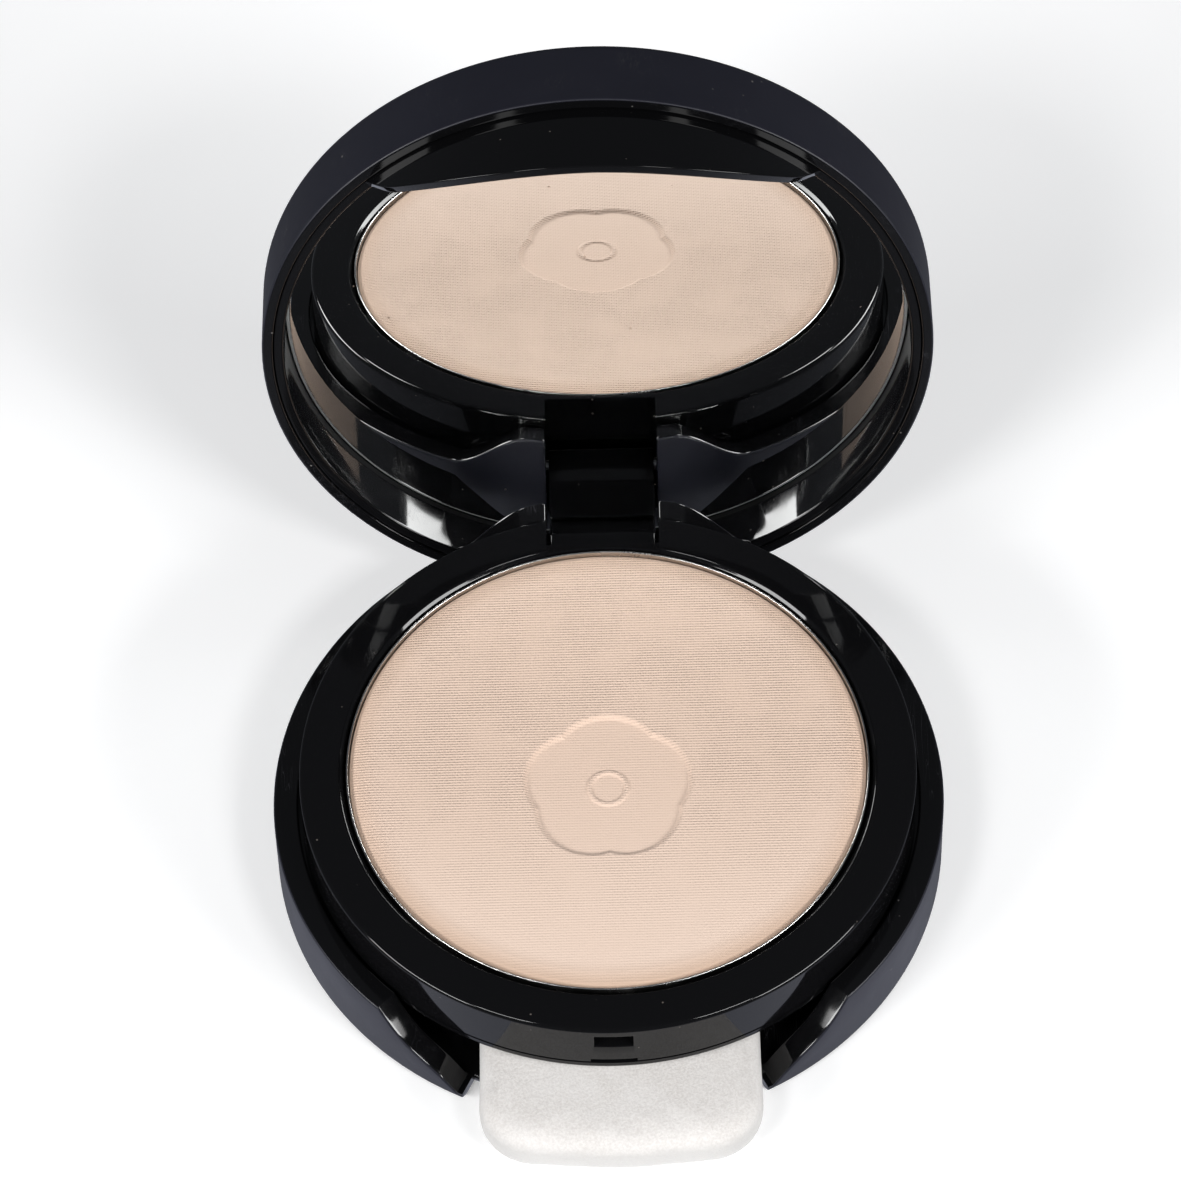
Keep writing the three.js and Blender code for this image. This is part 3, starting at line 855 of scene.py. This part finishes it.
def puff_shell():
    """A flat pad: an outline with round corners and a bowed front, drawn in to make its edges.

    Over each edge the outline moves in by radius times one minus cosine while the height
    moves by radius times sine. From there to the middle the rings shrink straight inwards.
    """
    low, high = PUFF_BOX
    left, front = low[0] - PUFF_SPARE, low[1] - PUFF_SPARE - PUFF_NOSE
    right, rear = high[0] + PUFF_SPARE, high[1]
    middle = (left + right) / 2
    shoulder = front + PUFF_BOW
    corners = [(left, rear), (left, shoulder), (middle, front), (right, shoulder), (right, rear)]
    outline = loop_outline(corners, [4 * MM, 6.5 * MM, 40 * MM, 6.5 * MM, 4 * MM], 10)
    length = np.linalg.norm(np.roll(outline, -1, axis=0) - outline, axis=1)
    travel = np.concatenate([[0], np.cumsum(length)])
    even = np.linspace(0, travel[-1], PUFF_COLUMNS, endpoint=False)
    closed = np.concatenate([outline, outline[:1]])
    outline = np.column_stack([np.interp(even, travel, closed[:, axis]) for axis in (0, 1)])
    ahead = np.roll(outline, -1, axis=0) - np.roll(outline, 1, axis=0)
    ahead /= np.linalg.norm(ahead, axis=1)[:, None]
    inwards = np.stack([-ahead[:, 1], ahead[:, 0]], axis=1)
    centre = outline.mean(axis=0)
    if ((centre - outline) * inwards).sum() < 0:
        inwards = -inwards
    bottom = low[2] + 0.2 * MM
    top = high[2] - 0.25 * MM
    edge = PUFF_EDGE
    flat = outline + inwards * edge - centre
    rings = [(centre + flat * share, bottom) for share in np.linspace(0, 1, 12)[:-1]]
    for turn in np.linspace(-math.pi / 2, math.pi / 2, 15):
        inset = edge * (1 - math.cos(turn))
        lift = bottom + edge if turn < 0 else top - edge
        rings.append((outline + inwards * inset, lift + edge * math.sin(turn)))
    rings += [(centre + flat * share, top) for share in np.linspace(1, 0, 12)[1:]]
    points = [np.column_stack([ring, np.full(len(ring), height)]) for ring, height in rings]
    return grid_shell(np.stack(points, axis=1))


def swell(piece):
    """The pad filled by a cloth simulation, run twenty times life size, with its travel capped."""
    scene = bpy.context.scene
    write_points(piece.data, read_points(piece.data) * PUFF_SCALE)
    remesh = piece.modifiers.new("Remesh", "REMESH")
    remesh.mode = "VOXEL"
    remesh.voxel_size = PUFF_VOXEL * PUFF_SCALE
    apply_modifiers(piece)
    start = read_points(piece.data)
    cloth = piece.modifiers.new("Cloth", "CLOTH")
    for name, value in CLOTH.items():
        setattr(cloth.settings, name, value)
    cloth.settings.effector_weights.gravity = 0
    cloth.collision_settings.use_collision = False
    cloth.point_cache.frame_start = 1
    cloth.point_cache.frame_end = CLOTH_FRAMES
    for step in range(1, CLOTH_FRAMES + 1):
        scene.frame_set(step)
    apply_modifiers(piece)
    scene.frame_set(1)
    travel = read_points(piece.data) - start
    distance = np.linalg.norm(travel, axis=1)[:, None]
    cap = PUFF_SWELL * PUFF_SCALE
    travel *= np.tanh(distance / cap) * cap / np.maximum(distance, 1e-9)
    filled = (start + travel) / PUFF_SCALE
    filled[:, 2] = np.maximum(filled[:, 2], PUFF_BOX[0][2])
    write_points(piece.data, filled)


def apply_modifiers(piece):
    """The piece's mesh as its modifiers leave it, with none of them left."""
    bpy.context.view_layer.update()
    result = piece.evaluated_get(bpy.context.evaluated_depsgraph_get())
    mesh = bpy.data.meshes.new_from_object(result)
    old = piece.data
    piece.modifiers.clear()
    piece.data = mesh
    bpy.data.meshes.remove(old)
    mesh.name = piece.name


def mark_side_shade(mesh):
    """Painted shade for the puff's sides, per point: one less the upward part of its normal, eased."""
    normals = np.empty(len(mesh.vertices) * 3)
    mesh.vertices.foreach_get("normal", normals)
    add_mask(mesh, "side", 1 - ease(normals[2::3], 0.1, 0.9))


def build_puff():
    """The velour puff: a numpy pad, filled by the simulation and smoothed once."""
    piece = new_piece("puff_look", [puff_shell()], sharp=180)
    swell(piece)
    smooth = piece.modifiers.new("Subdivision", "SUBSURF")
    smooth.levels = 1
    smooth.render_levels = 1
    apply_modifiers(piece)
    piece.data.shade_smooth()
    mark_side_shade(piece.data)
    return piece


# -------- material tools

def new_group(name, **inputs):
    """A shared shader group's tree, its number inputs, and Object coordinates inside it."""
    tree = bpy.data.node_groups.new(name, "ShaderNodeTree")
    for label, default in inputs.items():
        socket = tree.interface.new_socket(label, in_out="INPUT", socket_type="NodeSocketFloat")
        socket.default_value = default
    entry = tree.nodes.new("NodeGroupInput")
    place = tree.nodes.new("ShaderNodeTexCoord")
    return tree, entry.outputs, place.outputs["Object"]


def close_group(tree, **results):
    """The group's outputs, each linked from its result."""
    for label in results:
        tree.interface.new_socket(label, in_out="OUTPUT", socket_type="NodeSocketFloat")
    leave = tree.nodes.new("NodeGroupOutput")
    for label, result in results.items():
        feed(leave.inputs[label], result)
    return tree


def add_node(tree, kind, values=None, links=None, **settings):
    """A node with its settings, its sockets' values and what is linked into them."""
    node = tree.nodes.new(kind)
    for key, value in settings.items():
        setattr(node, key, value)
    for key, value in (values or {}).items():
        node.inputs[key].default_value = value
    for key, source in (links or {}).items():
        feed(node.inputs[key], source)
    return node


def feed(socket, value):
    """Sets a socket to a number or a colour, or links another socket into it."""
    if isinstance(value, tuple):
        socket.default_value = (*value, 1)
    elif isinstance(value, (int, float)):
        socket.default_value = value
    else:
        socket.id_data.links.new(value, socket)


def calculate(operation, *terms):
    """A math node; each term is a socket or a number, and the first socket's tree holds the node."""
    tree = next(term.id_data for term in terms if not isinstance(term, (int, float)))
    node = add_node(tree, "ShaderNodeMath", operation=operation)
    for socket, term in zip(node.inputs, terms):
        feed(socket, term)
    return node.outputs[0]


def times(first, second):
    """The product of two terms."""
    return calculate("MULTIPLY", first, second)


def plus(first, second):
    """The sum of two terms."""
    return calculate("ADD", first, second)


def vector_math(operation, place, other=None, **values):
    """The outputs of a vector math node on a place, and maybe on another or on three numbers."""
    links = {0: place}
    if isinstance(other, tuple):
        values[1] = other
    elif other is not None:
        links[1] = other
    return add_node(place.id_data, "ShaderNodeVectorMath", values, links, operation=operation).outputs


def ramp_between(value, low, high):
    """0 below low, 1 above high, eased between."""
    values = {1: low, 2: high, 3: 0.0, 4: 1.0}
    node = add_node(value.id_data, "ShaderNodeMapRange", values, {0: value}, interpolation_type="SMOOTHSTEP")
    return node.outputs[0]


def spread(mask, low, high):
    """A value that goes from low to high as a mask goes from 0 to 1."""
    values = {1: 0.0, 2: 1.0, 3: low, 4: high}
    return add_node(mask.id_data, "ShaderNodeMapRange", values, {0: mask}).outputs[0]


def mix_colours(factor, first, second):
    """The first colour, turned into the second as the factor goes from 0 to 1."""
    node = add_node(factor.id_data, "ShaderNodeMix", data_type="RGBA")
    for index, value in ((0, factor), (6, first), (7, second)):
        feed(node.inputs[index], value)
    return node.outputs[2]


def noise(place, scale, detail=4, roughness=0.55, distortion=0.0):
    """Cloudy noise, 0 to 1; its scale is a number or a socket."""
    values = {"Detail": detail, "Roughness": roughness, "Distortion": distortion}
    node = add_node(place.id_data, "ShaderNodeTexNoise", values, {"Vector": place})
    feed(node.inputs["Scale"], scale)
    return node.outputs["Fac"]


def split(place):
    """The X, Y and Z outputs of a place."""
    return add_node(place.id_data, "ShaderNodeSeparateXYZ", None, {0: place}).outputs


def grain_group():
    """Fine moulded grain: noise at two sizes, as a height and as a slow mask."""
    tree, entry, place = new_group("moulded_grain", Scale=9000.0)
    fine = noise(place, entry["Scale"], 3)
    broad = noise(place, times(entry["Scale"], 0.021), 3)
    return close_group(tree, Height=fine, Mask=broad)


def scratch_group():
    """Hairline scratches and rubbed patches: thin bands of stretched noise, where broad noise lets them."""
    tree, entry, place = new_group("fine_scratches", Scale=900.0)
    total = 0.0
    for angle, stretch in ((0.5, 14.0), (-0.9, 18.0), (1.7, 11.0)):
        turn = {"Rotation": (0.2, 0.3, angle), "Scale": (1, 1 / stretch, 1)}
        turned = add_node(tree, "ShaderNodeMapping", turn, {"Vector": place}).outputs[0]
        lines = noise(turned, entry["Scale"], 2, 0.5)
        off = calculate("ABSOLUTE", calculate("SUBTRACT", lines, 0.5))
        line = calculate("SUBTRACT", 1.0, ramp_between(off, 0.0, 0.006))
        total = calculate("MAXIMUM", total, line)
    allowed = ramp_between(noise(place, times(entry["Scale"], 0.14), 3), 0.5, 0.7)
    smudge = noise(place, times(entry["Scale"], 0.06), 5, 0.6, 0.6)
    return close_group(tree, Mask=times(total, allowed), Smudge=ramp_between(smudge, 0.42, 0.72))


def speck_group():
    """Loose dust: small spots of cell noise, few and far between."""
    tree, entry, place = new_group("dust_specks", Scale=1600.0, Share=0.1)
    cells = add_node(tree, "ShaderNodeTexVoronoi", {"Randomness": 1.0},
                     {"Vector": place, "Scale": entry["Scale"]}, feature="F1")
    spot = calculate("SUBTRACT", 1.0, ramp_between(cells.outputs["Distance"], 0.06, 0.16))
    pick = add_node(tree, "ShaderNodeSeparateColor", None, {"Color": cells.outputs["Color"]})
    few = calculate("LESS_THAN", pick.outputs[0], entry["Share"])
    return close_group(tree, Mask=times(spot, few))


def weave_group():
    """The cloth's imprint: two sets of threads, each a rounded wave, crossing over and under."""
    tree, entry, place = new_group("pressed_weave", Across=0.29 * MM, Along=0.348 * MM)
    wobble = add_node(tree, "ShaderNodeTexNoise", {"Scale": 260.0, "Detail": 2.0}, {"Vector": place})
    drift = vector_math("SUBTRACT", wobble.outputs["Color"], (0.5, 0.5, 0.5))[0]
    small = vector_math("SCALE", drift, Scale=0.1 * MM)[0]
    parts = split(vector_math("ADD", place, small)[0])
    x = calculate("DIVIDE", parts["X"], entry["Across"])
    y = calculate("DIVIDE", parts["Y"], entry["Along"])
    wave_x = calculate("SINE", times(x, math.pi))
    wave_y = calculate("SINE", times(y, math.pi))
    lines = times(times(wave_y, wave_y), 0.66)
    crossing = times(times(wave_x, wave_y), 0.16)
    posts = times(times(wave_x, wave_x), 0.28)
    height = plus(plus(lines, crossing), posts)
    return close_group(tree, Height=height, Fade=ramp_between(noise(place, 180.0, 3), 0.3, 0.62))


def nap_group():
    """Short velour pile: fine noise for the fibre tips and slow noise for how it lies."""
    tree, entry, place = new_group("velour_nap", Scale=3400.0)
    tips = noise(place, entry["Scale"], 4, 0.7)
    tufts = noise(place, times(entry["Scale"], 0.24), 3, 0.6)
    lie = noise(place, times(entry["Scale"], 0.035), 3, 0.5, 0.8)
    height = plus(times(tips, 0.55), times(tufts, 0.45))
    return close_group(tree, Height=height, Lie=ramp_between(lie, 0.3, 0.7), Tips=tips)


GRAIN = grain_group()
SCRATCH = scratch_group()
SPECKS = speck_group()
WEAVE = weave_group()
NAP = nap_group()


def new_material(name, roughness, **others):
    """A material, its tree and its shader, with the shader's plain values; _ stands for a space."""
    material = bpy.data.materials.new(name)
    material.use_nodes = True
    tree = material.node_tree
    shader = tree.nodes["Principled BSDF"]
    values = {"Roughness": roughness, "Metallic": 0.0, "IOR": 1.5, **others}
    for label, value in values.items():
        shader.inputs[label.replace("_", " ")].default_value = value
    return material, tree, shader


def use_group(tree, group, **values):
    """The outputs of a shared group, placed with its own values."""
    return add_node(tree, "ShaderNodeGroup", values, node_tree=group).outputs


def attribute(tree, name):
    """A number that the piece's own points carry."""
    return add_node(tree, "ShaderNodeAttribute", attribute_name=name).outputs["Fac"]


def paint(shader, colour, roughness=None, height=None, depth=0.0):
    """Joins a colour, a roughness and a relief of some depth to a material's shader."""
    feed(shader.inputs["Base Color"], colour)
    if roughness is not None:
        feed(shader.inputs["Roughness"], roughness)
    if height is not None:
        values = {"Strength": 1.0, "Distance": depth}
        relief = add_node(shader.id_data, "ShaderNodeBump", values, {"Height": height})
        feed(shader.inputs["Normal"], relief.outputs[0])


def soft_touch():
    """A matt sprayed coat outside; the bare glossy moulding shows on the rim and inside."""
    material, tree, shader = new_material("soft_touch_black", 0.4, IOR=1.45)
    grain = use_group(tree, GRAIN, Scale=9000.0)
    scratch = use_group(tree, SCRATCH, Scale=700.0)
    specks = use_group(tree, SPECKS, Scale=900.0, Share=0.04)
    coat = attribute(tree, "coat")
    colour = mix_colours(grain["Mask"], (0.0095, 0.0098, 0.0165), (0.0125, 0.0128, 0.0205))
    colour = mix_colours(coat, (0.0032, 0.0032, 0.0036), colour)
    colour = mix_colours(scratch["Mask"], colour, (0.03, 0.03, 0.034))
    colour = mix_colours(specks["Mask"], colour, (0.12, 0.115, 0.11))
    matt = spread(grain["Mask"], 0.40, 0.5)
    bare = spread(scratch["Smudge"], 0.06, 0.12)
    rough = add_node(tree, "ShaderNodeMix", None, {0: coat, 2: bare, 3: matt}, data_type="FLOAT").outputs[0]
    relief = times(grain["Height"], spread(coat, 0.12, 1.0))
    paint(shader, colour, rough, relief, 0.004 * MM)
    return material


def gloss_black():
    """Polished black moulding with hairline scratches, faint smudges and a little powder dust."""
    material, tree, shader = new_material("gloss_black", 0.08, IOR=1.36)
    scratch = use_group(tree, SCRATCH, Scale=1100.0)
    specks = use_group(tree, SPECKS, Scale=1100.0, Share=0.04)
    grain = use_group(tree, GRAIN, Scale=2600.0)
    colour = mix_colours(specks["Mask"], (0.0032, 0.0032, 0.0036), (0.1, 0.088, 0.078))
    smudged = spread(scratch["Smudge"], 0.04, 0.09)
    rough = plus(smudged, spread(scratch["Mask"], 0.0, 0.14))
    paint(shader, colour, rough, grain["Height"], 0.0002 * MM)
    return material


def pressed_powder():
    """Pressed powder: the woven imprint fades in patches and to the front; painted light and shade make the
    colour lighter to the front and darker towards the rim.
    """
    material, tree, shader = new_material(
        "powder", 1.0, Specular_IOR_Level=0.25, Sheen_Weight=0.12, Sheen_Roughness=0.5)
    weave = use_group(tree, WEAVE)
    grain = use_group(tree, GRAIN, Scale=7000.0)
    specks = use_group(tree, SPECKS, Scale=2600.0, Share=0.08)
    place = tree.nodes.new("ShaderNodeTexCoord").outputs["Object"]
    parts = split(place)
    top = CAKE_BOX[1][2]
    front = ramp_between(parts["Y"], 4 * MM, -27 * MM)
    on_top = ramp_between(parts["Z"], top - 0.6 * MM, top - 0.1 * MM)
    # Painted light and shade: the colour goes from a shaded tone at the rear, under the lid, to a lit tone at
    # the front.
    colour = mix_colours(front, (0.695, 0.525, 0.42), (0.765, 0.60, 0.495))
    radius = vector_math("LENGTH", vector_math("MULTIPLY", place, (1, 1, 0))[0])["Value"]
    # Painted shade: the colour darkens towards the rim beside the pan wall, more at the front and rear ends
    # than at the sides, and most at the front.
    rim = ramp_between(radius, 25.6 * MM, 29.2 * MM)
    ends = ramp_between(calculate("ABSOLUTE", parts["Y"]), 2 * MM, 19 * MM)
    end_shade_tone = mix_colours(front, (0.585, 0.42, 0.318), (0.53, 0.375, 0.275))
    rim_shade_tone = mix_colours(ends, (0.67, 0.485, 0.37), end_shade_tone)
    colour = mix_colours(rim, colour, rim_shade_tone)
    for mask, share, tone in (
            (weave["Height"], 0.12, (0.86, 0.69, 0.58)),
            (grain["Mask"], 0.25, (0.72, 0.54, 0.43)),
            (specks["Mask"], 0.5, (0.6, 0.42, 0.32))):
        colour = mix_colours(times(mask, share), colour, tone)
    strength = times(spread(weave["Fade"], 0.55, 1.0), spread(front, 1.0, 0.25))
    woven = times(weave["Height"], times(strength, on_top))
    height = plus(woven, times(grain["Height"], 0.3))
    paint(shader, colour, None, height, 0.1 * MM)
    return material


def bare_metal(name, tone, roughness):
    """Bright metal, cloudy in tone, with smudges and hairline scratches."""
    material, tree, shader = new_material(name, roughness, Metallic=1.0)
    scratch = use_group(tree, SCRATCH, Scale=1500.0)
    grain = use_group(tree, GRAIN, Scale=5000.0)
    dull = tuple(0.8 * value for value in tone)
    colour = mix_colours(grain["Mask"], dull, tone)
    rough = spread(scratch["Smudge"], roughness - 0.06, roughness + 0.1)
    paint(shader, colour, rough, scratch["Mask"], 0.001 * MM)
    return material


def mirror_glass():
    """The mirror: silvered, with smudges and dust, and a ground edge that no longer mirrors."""
    material, tree, shader = new_material("mirror_glass", 0.01, Metallic=1.0)
    scratch = use_group(tree, SCRATCH, Scale=600.0)
    specks = use_group(tree, SPECKS, Scale=800.0, Share=0.03)
    ground = attribute(tree, "coat")
    colour = mix_colours(specks["Mask"], (0.93, 0.94, 0.935), (0.75, 0.68, 0.62))
    colour = mix_colours(ground, colour, (0.9, 0.93, 0.92))
    rough = spread(scratch["Smudge"], 0.0, 0.012)
    for mask, most in ((specks["Mask"], 0.3), (ground, 0.38)):
        rough = plus(rough, spread(mask, 0.0, most))
    paint(shader, colour, rough)
    feed(shader.inputs["Metallic"], spread(ground, 1.0, 0.25))
    return material


def velour():
    """White velour: cloudy where the pile lies over, pale at its tips, and with painted shade darkening its
    sides.
    """
    material, tree, shader = new_material(
        "velour", 1.0, Specular_IOR_Level=0.1, Sheen_Weight=0.4, Sheen_Roughness=0.6)
    nap = use_group(tree, NAP)
    specks = use_group(tree, SPECKS, Scale=1300.0, Share=0.05)
    colour = mix_colours(nap["Lie"], (0.58, 0.55, 0.525), (0.64, 0.615, 0.595))
    for mask, share, tone in (
            (ramp_between(nap["Tips"], 0.35, 0.65), 0.5, (0.80, 0.78, 0.76)),
            (specks["Mask"], 0.3, (0.66, 0.56, 0.5)),
            # Painted shade: where the side attribute is 1 the colour is darkened.
            (attribute(tree, "side"), 0.85, (0.435, 0.425, 0.415))):
        colour = mix_colours(times(mask, share), colour, tone)
    paint(shader, colour, None, nap["Height"], 0.14 * MM)
    return material


def plain_adhesive(name, tone, roughness):
    """Tacky glue or tape, cloudy and a little uneven."""
    material, tree, shader = new_material(name, roughness)
    grain = use_group(tree, GRAIN, Scale=3000.0)
    dull = tuple(0.85 * value for value in tone)
    paint(shader, mix_colours(grain["Mask"], dull, tone), None, grain["Height"], 0.01 * MM)
    return material


def floor_paper():
    """White paper that glows a little, so that it stays white under soft light."""
    material, tree, shader = new_material(
        "floor_paper", 0.7, Specular_IOR_Level=0.1, Emission_Color=(1, 1, 1, 1), Emission_Strength=FLOOR_GLOW)
    grain = use_group(tree, GRAIN, Scale=1500.0)
    paint(shader, mix_colours(grain["Mask"], (0.90, 0.90, 0.90), (0.93, 0.93, 0.93)))
    return material


# -------- pieces, finishes and bodies

def dress(piece, finish, body=None, node=None):
    """Gives a piece its finish; where it stands for a CAD node, hangs it on its body and hides that node."""
    piece.data.materials.clear()
    piece.data.materials.append(FINISHES[finish])
    if node:
        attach(piece, body)
        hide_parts(node)


FINISHES = {
    "soft_touch_black": soft_touch(),
    "gloss_black": gloss_black(),
    "powder": pressed_powder(),
    "mirror_glass": mirror_glass(),
    "tin": bare_metal("tin", (0.74, 0.73, 0.71), 0.26),
    "steel": bare_metal("steel", (0.6, 0.6, 0.61), 0.3),
    "velour": velour(),
    "glue": plain_adhesive("glue", (0.72, 0.7, 0.64), 0.5),
}

dress(build_base(), "soft_touch_black", "base", "base_shell")
dress(build_tray(), "gloss_black", "base", "tray")
dress(build_pan(), "tin", "base", "pan")
dress(build_powder(), "powder", "base", "powder_cake")
dress(build_pin(), "steel", "base", "hinge_pin")
dress(build_cap(), "soft_touch_black", "lid", "lid_cap")
dress(build_liner(), "gloss_black", "lid", "lid_liner")
dress(build_mirror(), "mirror_glass", "lid", "mirror")
puff = build_puff()
dress(puff, "velour", "puff", "puff")
dress(frame["nodes"]["pan_glue"], "glue")
dress(frame["nodes"]["mirror_tape"], "glue")


# -------- floor, light and camera

FLOOR_GLOW = 0.24
FLOOR_HALF = 3.0
MIDDLE = Vector((0, 0, 0.02))
# Each pair of softboxes: name, azimuth, elevation, distance, size and power.
SOFTBOXES = (
    ("", 60, 24, 0.8, (0.46, 0.2), 5.2),
    ("upper ", 38, 50, 0.9, (0.2, 0.13), 1.7),
)


def build_floor():
    """A wide sheet of paper, level with the table."""
    side = np.linspace(-FLOOR_HALF, FLOOR_HALF, 5)
    x, y = np.meshgrid(side, side, indexing="ij")
    points = np.stack([x, y, np.zeros_like(x)], axis=-1)
    mesh = bpy.data.meshes.new("floor")
    mesh.from_pydata(points.reshape(-1, 3).tolist(), [], grid_faces(5, 5, False, False))
    floor = add_object("floor", mesh)
    mesh.materials.append(floor_paper())
    floor.visible_glossy = False


def add_softbox(name, place, size, power):
    """A rectangular light that faces the middle of the powder."""
    data = bpy.data.lights.new(name, "AREA")
    data.shape = "RECTANGLE"
    data.size, data.size_y = size
    data.energy = power
    lamp = add_object(name, data)
    lamp.location = place
    lamp.rotation_euler = (MIDDLE - Vector(place)).to_track_quat("-Z", "Y").to_euler()


def set_world():
    """A dim room: dark above and behind, and paler below, where the table's own light comes from."""
    world = bpy.data.worlds.new("studio")
    bpy.context.scene.world = world
    world.use_nodes = True
    tree = world.node_tree
    towards = tree.nodes.new("ShaderNodeTexCoord").outputs["Generated"]
    parts = split(towards)
    below = ramp_between(parts["Z"], -0.45, -0.8)
    behind = ramp_between(parts["Y"], 0.3, 0.6)
    below = times(below, spread(behind, 1.0, 0.15))
    tone = mix_colours(below, (0.09, 0.095, 0.105), (0.56, 0.58, 0.68))
    feed(tree.nodes["Background"].inputs["Color"], tone)


# The camera: where it stands round its target, its roll, its distance and its lens in mm.
VIEW_ELEVATION = 55.297
VIEW_AZIMUTH = 0.501
VIEW_ROLL = -1.79
VIEW_TARGET = Vector((-1.487, 20, 21.758)) * MM
VIEW_DISTANCE = 0.7527
LENS = 201.9


def add_camera():
    """A long lens, from in front and above, turned a little about its own line of sight."""
    elevation, azimuth, roll = (math.radians(value) for value in (VIEW_ELEVATION, VIEW_AZIMUTH, VIEW_ROLL))
    away = Vector((math.sin(azimuth) * math.cos(elevation), -math.cos(azimuth) * math.cos(elevation),
                   math.sin(elevation)))
    right = (-away).cross(Vector((0, 0, 1))).normalized()
    up = right.cross(-away)
    turned_right = right * math.cos(roll) + up * math.sin(roll)
    turned_up = up * math.cos(roll) - right * math.sin(roll)
    data = bpy.data.cameras.new("camera")
    data.sensor_width = 36
    data.lens = LENS
    data.clip_start = 0.01
    camera = add_object("camera", data)
    axes = Matrix((turned_right, turned_up, away)).transposed().to_4x4()
    camera.matrix_world = Matrix.Translation(VIEW_TARGET + away * VIEW_DISTANCE) @ axes
    bpy.context.scene.camera = camera


def around(azimuth, elevation, distance):
    """A place seen from the middle of the powder: azimuth from the front towards +X, in degrees."""
    turn = math.radians(azimuth)
    lift = math.radians(elevation)
    level = distance * math.cos(lift)
    return (level * math.sin(turn), -level * math.cos(turn), MIDDLE.z + distance * math.sin(lift))


build_floor()
for height, azimuth, elevation, distance, size, power in SOFTBOXES:
    add_softbox(height + "left", around(-azimuth, elevation, distance), size, power)
    add_softbox(height + "right", around(azimuth, elevation, distance), size, power)
set_world()
add_camera()
bpy.context.scene.view_settings.view_transform = "Standard"
